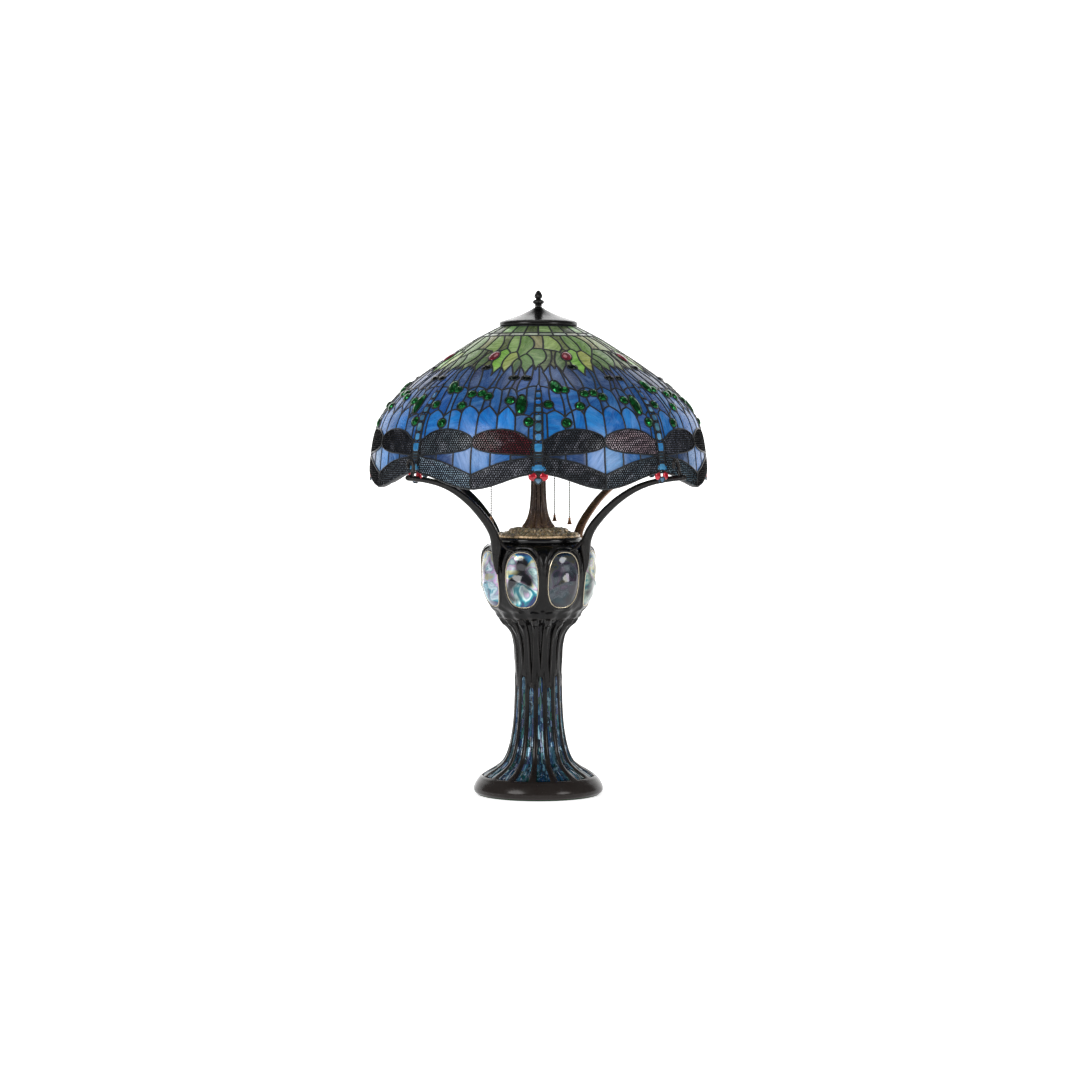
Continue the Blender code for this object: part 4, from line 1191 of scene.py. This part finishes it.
URN = [(67.5, 300.2), (75, 311), (83, 322), (88.3, 333), (91.6, 345), (95, 369), (96.4, 392), (95.6, 406),
       (92.4, 416.3), (85.3, 423), (75, 426.6), (72, 427)]
URN_IN = [(66, 427), (66, 422), (80, 417), (88, 410), (91.4, 400), (91.4, 385), (87, 345), (78.5, 322),
          (70.5, 311), (63.5, 300.2)]
TILE_Z, TILE_HALF, TILE_POWER = 367.0, (27.6, 46.2), 2.5
TILE_BACK = -5.5
WINDOWS = 8
WINDOW_TURN = 360 / WINDOWS
URN_LINE = smooth_line(URN, 12)
URN_SKIN = Skin(URN_LINE, 1)
TILE_RUN = URN_SKIN.run_at(TILE_Z)
BEZEL = ((-0.1, -2.0), (-0.1, 1.0), (0.4, 1.4), (0.9, 1.0), (1.0, -2.0))  # (outwards, lift)


def on_window(number, across, up, lift):
    """Points in metres on the urn, across and up from the middle of one of its windows."""
    run = TILE_RUN + up
    middle = BASE_TURN + WINDOW_TURN * (number + 0.5)
    return URN_SKIN.at(middle + np.degrees(across / URN_SKIN.radius(run)), run, lift)


def window_size(angle, r, z):
    """1 on a window's edge, less inside; and how far over the tiles' middle a point is."""
    off = (angle - BASE_TURN) % WINDOW_TURN - WINDOW_TURN / 2
    up = URN_SKIN.run_at(z) - TILE_RUN
    x = np.abs(np.radians(off) * r) / TILE_HALF[0]
    y = np.abs(up) / TILE_HALF[1]
    return (x ** TILE_POWER + y ** TILE_POWER) ** (1 / TILE_POWER), up


def urn_relief(angle, r, z):
    """The windows with a raised edge and an arch over each, and the folds at the urn's foot."""
    size, up = window_size(angle, r, z)
    lift = -6.5 * smoothstep(1.03 - size, 0, 0.035)
    lift += 1.3 * hump(size, 1.09, 0.055)
    lift += 1.7 * hump(size, 1.3, 0.07) * smoothstep(up, 8, 34)
    lift -= 1.2 * hump(size, 1.2, 0.05) * smoothstep(up, -10, 30)
    fold = folds(angle, 16, math.pi)
    steps = hump(z - 2.5 * fold, 315, 4.0) + hump(z, 304, 3) * 0.8
    lift += steps * (0.9 + 1.1 * fold) * (size > 1.08)
    lift += (1 - smoothstep(z, 308, 322)) * 0.8 * fold
    return lift + 0.45 * noise_grid(angle, z, 6.5, 0.07, 9) * (size > 1.1)


def make_urn(bronze, bezel):
    turned_piece("urn_body", bronze, URN_LINE, URN_IN, 640, urn_relief, 0, slot="dark_bronze", sharp=40,
                 replaces=["urn_casting"])
    build = Build()
    for number in range(WINDOWS):
        rows = [on_window(number, *tile_edge(circle(72), grow + 0.7), lift) for grow, lift in BEZEL]
        build.grid(np.array(rows)[::-1])
    build.made("window_bezels", [bezel], slot="antique_gold")


def tile_edge(turn, grow=0.0, share=1.0):
    """The rounded outline of a tile, in millimetres from its middle."""
    x, y = rounded(turn, 2 / TILE_POWER)
    return x * (TILE_HALF[0] + grow) * share, y * (TILE_HALF[1] + grow) * share


def tile_relief(x, y, share, flip, seed):
    """The hollows and the folded crest of a turtleback tile."""
    u, v = x / TILE_HALF[0] * flip, y / TILE_HALF[1]
    crest = -0.14 + 0.1 * np.cos(u * 2.4 + 0.6) - 0.18 * np.clip(u, 0, 1) ** 2
    over = v - crest
    under = 3.0 * np.exp(over / 0.05) + 1.6 * (1 - np.exp(over / 0.06)) * np.clip(1 + over * 1.2, 0, 1)
    fold = np.where(over > 0, np.exp(-over / 0.3) * 3.0, under)
    hollow = -2.2 * np.exp(-((u + 0.15) ** 2 / 0.22 + (v - 0.36) ** 2 / 0.1))
    ripple = np.array([wobble(a * 0.07, b * 0.06, seed) for a, b in zip(x.ravel(), y.ravel())])
    edge = np.clip(1 - share ** 3, 0, 1)
    return (0.6 + 2.6 * edge + (fold + hollow) * np.clip((1 - share) * 4, 0, 1)
            + 0.9 * ripple.reshape(x.shape) * edge)


# Each tile's tint: partly the tiles' own differing lustre, partly painted light, with the front-left tile
# (the last) brightest and the front-right one (the first) darkest.
TILE_LUSTRE_AND_PAINTED_LIGHT = tones((66, 70, 80), (170, 176, 166), (232, 236, 238), (150, 156, 166),
              (216, 216, 222), (140, 150, 152), (200, 208, 222), (240, 252, 252))


def make_tiles(glass):
    """Eight thick pressed glass tiles with an iridescent skin."""
    turn = circle(64)
    share = np.linspace(0.02, 1, 26)[::-1, None]
    for number in range(WINDOWS):
        x, y, shares = np.broadcast_arrays(*tile_edge(turn[None], 0, share), share)
        lift = tile_relief(x, y, shares, 1 if number % 2 else -1, number * 3.7)
        front = on_window(number, x, y, lift)
        back = on_window(number, *tile_edge(turn), TILE_BACK)
        build = Build()
        build.grid(np.concatenate([back[None], front]), tint=TILE_LUSTRE_AND_PAINTED_LIGHT[number], ring=False)
        build.made(f"turtleback_{number + 1}", [glass], slot="jewel_glass", sharp=60,
                   replaces=[f"turtleback_tile_{number + 1}"])


# ---------------------------------------------------------------- collar, gallery and riser

COLLAR = [(67.2, 427.3), (70.5, 427.3), (72.4, 428.4), (73.1, 431), (73, 433.4), (72, 435.3), (70, 436.1),
          (67.2, 436.1)]
GALLERY = [(66.6, 436.5), (69.8, 436.6), (70.8, 438.4), (69.8, 440.8), (64, 443), (57, 444.4), (50.5, 446),
           (48, 449.2), (44.5, 451), (38, 451.4), (31, 451.6), (6.2, 451.6)]
GALLERY_IN = [(6.2, 448.6), (38, 448.3), (48, 447), (58, 442), (66.4, 438.6), (66.5, 437.2)]
RISER = [(29.5, 451.6), (27.5, 453.6), (23.5, 458.5), (19.8, 465.5), (17, 474), (14.6, 487), (13.2, 503),
         (12.4, 520), (12, 550), (11.6, 584)]
RISER_IN = [(6.5, 584), (6.5, 451.6)]


def gallery_relief(angle, r, z):
    """Curling leaves in rows round the plate, pierced between them."""
    turn = np.radians(angle - BASE_TURN)
    swirl = turn * 11 + np.sin(r / 4.2) * 1.6
    leaf = np.abs(np.sin(swirl)) ** 0.6 * np.abs(np.sin(r / 5.2 + 1.6 * np.sin(turn * 12)))
    bead_row = np.clip(np.sin(turn * 48) * hump(r, 66, 1.8), 0, 1)
    grain = noise_grid(angle, z + r * 1.2, r.mean() / 5.5, 0.33, 5)
    body = smoothstep(r, 27, 33) * (1 - smoothstep(r, 67, 69.2)) * (z > 437)
    lift = body * (2.6 * leaf - 1.3 + 1.1 * grain + bead_row * 1.4)
    pierced = smoothstep(0.34 - leaf, 0, 0.16) * smoothstep(r, 36, 40) * (1 - smoothstep(r, 60, 64))
    return lift - 2.2 * pierced * body


def riser_relief(angle, r, z):
    """Ten ribs that spread at the foot."""
    turn = np.radians(angle - BASE_TURN)
    rib = np.abs(np.cos(turn * 5 + 0.5)) ** 0.8
    foot = 1 - smoothstep(z, 456, 484)
    lift = (2.6 + 2.6 * foot) * (rib - 0.6)
    return lift * smoothstep(z, 451.6, 455) + foot * 0.4 * noise_grid(angle, z, 4, 0.14, 2)


def make_neck(black, gold, brown):
    turned_piece("collar_ring", black, COLLAR, [(67.2, 434), (67.2, 430)], 160, None, 4,
                 slot="dark_bronze", replaces=["urn_collar"])
    line = np.vstack([smooth_line(GALLERY[:-1], 14), GALLERY[-1]])
    turned_piece("gallery_ornament", gold, line, GALLERY_IN, 480, gallery_relief, 0, slot="antique_gold",
                 sharp=45, replaces=["gallery_plate"])
    turned_piece("riser_fluted", brown, RISER, RISER_IN, 192, riser_relief, 9, slot="brown_bronze",
                 sharp=45, replaces=["riser_stem"])


# ---------------------------------------------------------------- arms

# (radius, height, half thickness), and the scroll's (sideways, radius, height, half thickness)
ARM = [(100.5, 377, 1.2), (101.6, 384, 3.4), (103, 392, 5), (103.6, 404, 6.6), (102.8, 417, 7.8),
       (104.5, 432, 8.2), (110.5, 446, 8), (120, 459, 7.6), (133, 472, 7.2), (149, 486, 6.9), (168, 500, 6.5),
       (190, 513, 6), (214, 524, 5.5), (240, 532, 5), (266, 537, 4.7), (290, 540, 4.5), (304, 541.4, 4.8),
       (310, 542, 4.4), (312.6, 542.2, 2.4)]
SCROLL = [(0, 302, 541, 3.8), (0.7, 298, 551, 3.2), (0.3, 296.6, 561, 3), (-3.2, 296.2, 568, 2.9),
          (-8.5, 296.2, 569.5, 2.8), (-12.4, 296.3, 565, 2.8), (-12.2, 296.5, 559.5, 2.6),
          (-8.8, 296.6, 558, 2)]
# The right-hand web of an arm's foot, the same way. The left one mirrors it.
WEB = [(0, 104, 440, 5), (7, 99, 430, 4.6), (15, 93.5, 420.5, 3.6), (24, 91, 417, 2), (29, 90.5, 415.5, 0.8)]
ARM_ANGLES = [BASE_TURN + at for at in (45, 135, 218.5, 312)]


def make_arms(bronze, painted_lit_bronze):
    """Four arms that grow out of the urn, taper, and end in a scroll round the shade's rim."""
    arm = smooth_line(ARM, 6)
    scroll = smooth_line(SCROLL, 6)
    for number, angle in enumerate(ARM_ANGLES):
        build = Build()
        line = np.stack([np.zeros(len(arm)), arm[:, 0], arm[:, 1]], 1)
        swell = hump(arm[:, 1], 424, 13)
        halves = [(h * (0.92 + 0.3 * s), h) for h, s in zip(arm[:, 2], swell)]
        build.grid(swept(line, halves, angle, 24, 0.08), ring=False)
        build.grid(swept(scroll[:, :3], [(h, h) for h in scroll[:, 3]], angle, 16), ring=False)
        for side in (-1, 1):  # the webs that spread over the urn's shoulder
            web = smooth_line(np.array(WEB) * (side, 1, 1, 1), 5)
            build.grid(swept(web[:, :3], [(h, h * 0.75) for h in web[:, 3]], angle, 14), ring=False)
        # The back right arm gets a warmer, paler brown: painted light on one of four arms of the same bronze.
        build.made(f"arm_{number + 1}", [painted_lit_bronze if number == 1 else bronze], slot="dark_bronze", sharp=45,
                   replaces=[f"shade_arm_{number + 1}"])


# ---------------------------------------------------------------- cap and finial

CAP = [(63.5, 793), (65.6, 793.4), (66.4, 795.4), (66, 798.2), (64.4, 800), (60.6, 801.8), (50, 805.2),
       (37.4, 809.4), (26, 814), (16, 818.8), (10.4, 822), (9.6, 822.9), (7, 823.6), (6, 826)]
CAP_IN = [(3.7, 826), (3.7, 822), (8, 818), (20, 813), (37, 806.6), (58, 799.8), (62, 796), (62.8, 794)]
FINIAL = [(3.5, 826.4), (5.6, 826.5), (6.3, 828), (6, 829.2), (8.4, 830.6), (9.5, 833.4), (8.4, 836),
          (5, 837.6), (4.3, 838.6), (6.1, 840.2), (6.8, 842.4), (6.2, 845.6), (4.4, 849.4), (2, 852.2),
          (0.6, 852.9)]


def finial_relief(angle, r, z):
    """Lobes round the knob and fine ribs on the acorn's cup."""
    lobes = np.cos(np.radians(angle) * 8) * 0.3 * hump(z, 833.4, 2.2)
    return lobes + np.cos(np.radians(angle) * 12) * 0.22 * hump(z, 843.5, 3)


def make_cap(bronze):
    turned_piece("cap_spun", bronze, CAP, CAP_IN, 128, None, 5, slot="dark_bronze", replaces=["shade_cap"])
    turned_piece("finial_acorn", bronze, FINIAL, (), 96, finial_relief, 5, slot="dark_bronze",
                 body="finial", replaces=["finial"])


# ---------------------------------------------------------------- lights

NOZZLE = [(2.4, 609), (3.4, 609), (3.9, 610.4), (3.9, 612), (3.3, 613), (3.3, 624), (2.4, 624)]
LIGHTS = [40, 160, 280]
SOCKET_AT, LIGHT_UP = (47, 616), 35
SOCKET = [(3, 0.1), (8, 0.2), (11.6, 1.6), (14.5, 4), (16.6, 7.2), (16.9, 9), (16.4, 10.4), (16.4, 24),
          (17, 25.2), (17, 27.6), (16.4, 28.8), (16.4, 50), (17, 52), (16.9, 56.6), (16, 57.8), (14.4, 57.8)]
SOCKET_IN = [(13.9, 56), (13.9, 37), (4, 36.5), (3, 20)]
BULB = [(12.6, 37.5), (12.6, 59), (14.6, 65.5), (19.6, 74.5), (25.4, 85), (29.2, 98), (29.9, 108),
        (27.8, 120.5), (22.4, 129.6), (14, 135.4), (6, 137.6), (1, 137.9)]


def light_matrix(angle):
    """Where a socket and its bulb stand: tilted outwards from the cluster."""
    turn = Matrix.Rotation(math.radians(angle) - math.pi / 2, 4, "Z")
    where = Matrix.Translation((SOCKET_AT[0] * MM, 0, SOCKET_AT[1] * MM))
    return turn @ where @ Matrix.Rotation(math.radians(90 - LIGHT_UP), 4, "Y")


def moved(points, matrix):
    return points @ np.array(matrix.to_3x3()).T + np.array(matrix.translation)


def make_lights(brown, frosted):
    """Sockets with rolled beads, the nozzles that the chains leave by, and frosted bulbs."""
    for number, angle in enumerate(LIGHTS):
        matrix = light_matrix(angle)
        build = Build()
        outer = turned_points(smooth_line(SOCKET, 4), 64)
        build.grid(moved(np.concatenate([outer, turned_points(SOCKET_IN, 64)]), matrix))
        build.grid(turned_points(NOZZLE, 24) + polar(angle, CHAIN_AT, 0))
        build.made(f"socket_shell_{number + 1}", [brown], slot="brown_bronze",
                   replaces=[f"socket_{number + 1}"])
        bulb = Build()
        bulb.grid(moved(turned_points(smooth_line(BULB, 5), 64), matrix), ring=False)
        bulb.made(f"bulb_frosted_{number + 1}", [frosted], slot="bulb_glass",
                  replaces=[f"bulb_{number + 1}"])


# ---------------------------------------------------------------- pull chains

CHAIN_AT, CHAIN_TOP, CHAIN_BOTTOM = 81.0, 627.0, 472.0
BEAD_R, BEAD_PITCH, BEAD_TURN, WIRE_R = 1.5, 4.0, 1.35, 0.6
BELL = [(0.9, 471.9), (1.9, 471.6), (2.3, 470), (2.0, 468.6), (2.5, 466.4), (3.3, 463.4), (4.1, 461),
        (4.2, 460.1), (3.6, 459.9)]


def make_chains(beads, brass):
    """Three bead chains that hang from their sockets, each with a bell on its end."""
    for number, angle in enumerate(LIGHTS):
        across = polar(angle, CHAIN_AT, 0)
        x, y, _ = across
        build = Build()
        wire = turned_points([(WIRE_R, z) for z in np.linspace(CHAIN_BOTTOM, CHAIN_TOP, 50)], 6)
        build.grid(wire + across, ring=False)
        for z in np.arange(CHAIN_BOTTOM + BEAD_R, CHAIN_TOP, BEAD_PITCH):
            rise = np.linspace(-BEAD_TURN, BEAD_TURN, 8)
            ball = turned_points([(BEAD_R * math.cos(t), z + BEAD_R * math.sin(t)) for t in rise], 12)
            build.grid(ball + across, ring=False)
        switch = f"pull_switch_{number + 1}"
        chain = build.made(f"bead_chain_{number + 1}", [beads], "brass", switch,
                           replaces=[f"pull_chain_{number + 1}"])
        bell = Build()
        bell.grid(turned_points(smooth_line(BELL[::-1], 4), 32) + across, ring=False)
        bell = bell.made(f"bell_{number + 1}", [brass], "brass", switch,
                         replaces=[f"chain_bell_{number + 1}"])
        path = [(x, y, z * MM) for z in np.linspace(CHAIN_TOP, CHAIN_BOTTOM, 20)]


# ---------------------------------------------------------------- hidden and small parts


def iridescent():
    """Lustred glass: bands of silver, teal, pink, violet, gold and blue that follow its hollows."""
    n = Nodes("lustred_glass", 0.1, 0.35, Coat_Weight=0.6, Coat_Roughness=0.04)
    where = n.place()
    cloud = n.noise(where, 26, 3, 0.55, 1.2)
    slow = n.noise(where, 13, 2, 0.5, 0.6)
    split = n.node("ShaderNodeSeparateXYZ")
    n.link(n.node("ShaderNodeNewGeometry").outputs["Normal"], split.inputs[0])
    height = n.node("ShaderNodeMath", operation="MULTIPLY_ADD")
    n.link(split.outputs["Z"], height.inputs[0])
    height.inputs[1].default_value = 0.5
    n.link(cloud, height.inputs[2])
    bands = n.ramp(height.outputs[0], (0.2, tone(6, 42, 98)), (0.29, tone(24, 156, 168)),
                   (0.36, tone(232, 250, 246)), (0.43, tone(150, 168, 180)), (0.49, tone(244, 186, 224)),
                   (0.53, tone(212, 230, 234)), (0.61, tone(250, 230, 164)), (0.68, tone(40, 158, 204)),
                   (0.8, tone(84, 92, 146)))
    dark = n.ramp(slow, (0.38, tone(14, 16, 28)), (0.46, tone(252, 252, 252)))
    n.colour(n.times(n.times(bands, dark), n.tint()))
    n.rough(cloud, 0.06, 0.18)
    n.bump(cloud, 0.25, 0.0015)
    return n.material


def plain_parts(steel, felt, plastic, brown, brass):
    """Better finishes on the CAD parts whose shapes stay."""
    finishes = {"felt_pad": felt, "base_cover_plate": steel, "base_nut": steel, "centre_rod": steel,
                "cap_lock_nut": steel, "cord_outlet_bush": plastic, "socket_cluster": brown,
                "shade_top_ring": brass}
    for name, material in finishes.items():
        for slot in NODES[name].material_slots:
            slot.material = material


def felt_material():
    n = Nodes("base_felt", 0.95, 0, Sheen_Weight=0.5)
    fibre = n.noise(n.place((1, 1, 0.3)), 1400, 5, 0.7, 1.5)
    n.colour(n.ramp(fibre, (0.35, tone(18, 44, 26)), (0.65, tone(40, 74, 48))))
    n.bump(fibre, 0.6, 0.0006)
    return n.material


def plastic_material():
    n = Nodes("moulded_black", 0.45)
    fine = n.noise(n.place(), 1800)
    n.colour(n.ramp(fine, (0.4, tone(20, 20, 21)), (0.6, tone(34, 34, 35))))
    n.rough(fine, 0.4, 0.55)
    n.bump(fine, 0.2, 0.0002)
    return n.material


def frosted_material():
    n = Nodes("frosted_bulb", 0.3, 0, Transmission_Weight=0.25, Coat_Weight=0.2)
    n.colour(n.ramp(n.noise(n.place(), 60), (0.35, tone(232, 230, 222)), (0.65, tone(246, 245, 240))))
    n.bump(n.noise(n.place(), 2200, 2), 0.15, 0.0002)
    return n.material


def mosaic_material():
    n = Nodes("mosaic_sliver", 0.14, 0.3, Coat_Weight=0.5, Coat_Roughness=0.05)
    cloud = n.noise(n.place((1, 1, 0.35)), 150, 4, 0.6, 0.8)
    # Paler blue-grey patches over the slivers: a painted sheen.
    painted_sheen = n.ramp(n.noise(n.place(), 70, 3, 0.6, 1.0), (0.56, 0.0), (0.7, 0.6))
    body = n.times(n.tint(), n.ramp(cloud, (0.35, 0.45), (0.65, 1.35)))
    n.colour(n.mix(painted_sheen, body, tone(132, 170, 190)))
    n.rough(cloud, 0.08, 0.28)
    n.bump(cloud, 0.4, 0.0008)
    return n.material


# ---------------------------------------------------------------- floor and light


WORLD, FLOOR_GLOW = 0.27, 0.7
LAMP_MIDDLE = (0, 0, 0.45)
# Each light: where it is, what it points at, its size in metres and its power in watts
LAMPS = {"key": ((-2.6, -2.8, 1.9), LAMP_MIDDLE, 2.0, 66),
         "fill": ((2.8, -2.6, 1.4), LAMP_MIDDLE, 1.6, 38),
         "top": ((0, 0.4, 3.6), LAMP_MIDDLE, 1.6, 10),
         "backdrop": ((0, 1.5, 4.4), (0, 6, 3), 3.0, 200)}


def make_studio():
    """A plain pale floor that curves up behind, and plain soft light."""
    front, depth, height, bend, half = -6.5, 6.0, 6.0, 2.0, 9.0
    line = [(front, 0.0), (0.0, 0.0), (depth - bend, 0.0)]
    line += [(depth - bend + bend * math.sin(t), bend - bend * math.cos(t))
             for t in np.linspace(0.1, math.pi / 2, 12)]
    line.append((depth, height))
    points = [(side * half, y, z) for y, z in line for side in (-1, 1)]
    faces = [(2 * i, 2 * i + 1, 2 * i + 3, 2 * i + 2) for i in range(len(line) - 1)]
    mesh = bpy.data.meshes.new("floor")
    mesh.from_pydata(points, [], faces)
    mesh.shade_smooth()
    n = Nodes("studio_paper", 0.9, Emission_Color=(1, 1, 1, 1), Emission_Strength=FLOOR_GLOW)
    cloud = n.noise(n.place(), 3, 3)
    n.colour(n.ramp(cloud, (0.3, 0.86), (0.7, 0.9)))
    mesh.materials.append(n.material)
    floor = bpy.data.objects.new("floor", mesh)
    bpy.context.scene.collection.objects.link(floor)
    world = bpy.data.worlds.new("studio")
    bpy.context.scene.world = world
    world.use_nodes = True
    background = world.node_tree.nodes["Background"]
    background.inputs["Color"].default_value = (1, 1, 1, 1)
    background.inputs["Strength"].default_value = WORLD
    for name, (where, aim, size, power) in LAMPS.items():
        area_light(name, where, aim, size, power)
    bpy.context.scene.view_settings.view_transform = "Standard"


def area_light(name, where, aim, size, power):
    data = bpy.data.lights.new(name, "AREA")
    data.shape = "DISK"
    data.size = size
    data.energy = power
    light = bpy.data.objects.new(name, data)
    light.location = where
    light.rotation_euler = (Vector(aim) - Vector(where)).to_track_quat("-Z", "Y").to_euler()
    bpy.context.scene.collection.objects.link(light)


def main():
    make_camera()
    brass = metal("aged_brass", [(66, 42, 27), (132, 90, 60), (206, 164, 128)], 0.28, 600)
    make_chains(metal("dull_chain", [(18, 17, 16), (50, 46, 42), (96, 88, 78)], 0.34, 600, 0.3), brass)
    make_studio()
    dark = [(4, 4, 4), (13, 12, 12), (44, 41, 39)]
    bronze = metal("dark_patina", dark, 0.17, 300, 0.1, 0.12, shine=0.26)
    footed = metal("dark_patina_column", dark, 0.17, 300, 0.1, 0.12, (0.03, 0.13, tone(28, 17, 13)), 0.26)
    black = metal("polished_black", [(5, 5, 6), (14, 14, 15), (40, 40, 42)], 0.1, 300, 0.2, 0.1)
    # A paler, warmer copy of the bronze for one arm: painted light.
    painted_lit_bronze = metal("painted_lit_patina", [(26, 16, 12), (84, 58, 40), (176, 132, 96)], 0.28, 300, 0.6)
    gold = metal("antique_gold_relief", [(30, 20, 12), (222, 188, 144), (255, 240, 204)], 0.26, 420, 0.5,
                 cloud_scale=150)
    gilt = metal("gilt_bezel", [(60, 50, 38), (140, 124, 98), (236, 224, 196)], 0.24, 300)
    brown = metal("brown_patina", [(48, 37, 35), (82, 69, 68), (214, 184, 156)], 0.22, 200, 0.5, 0.05)
    # Below the top of its flare the riser turns a paler gold-brown: a painted highlight on the spreading
    # foot.
    riser = metal("brown_patina_riser", [(22, 16, 15), (52, 42, 40), (170, 138, 112)], 0.2, 200, 0.5, 0.05,
                  (0.452, 0.482, tone(120, 92, 66)))
    steel = metal("zinc_plate", [(96, 98, 100), (140, 142, 145), (190, 190, 190)], 0.34, 500)
    make_column(footed)
    make_mosaic(mosaic_material())
    make_urn(bronze, gilt)
    make_tiles(iridescent())
    make_neck(black, gold, riser)
    make_arms(bronze, painted_lit_bronze)
    make_cap(bronze)
    make_lights(brown, frosted_material())
    plain_parts(steel, felt_material(), plastic_material(), brown, brass)
    make_shade()


main()
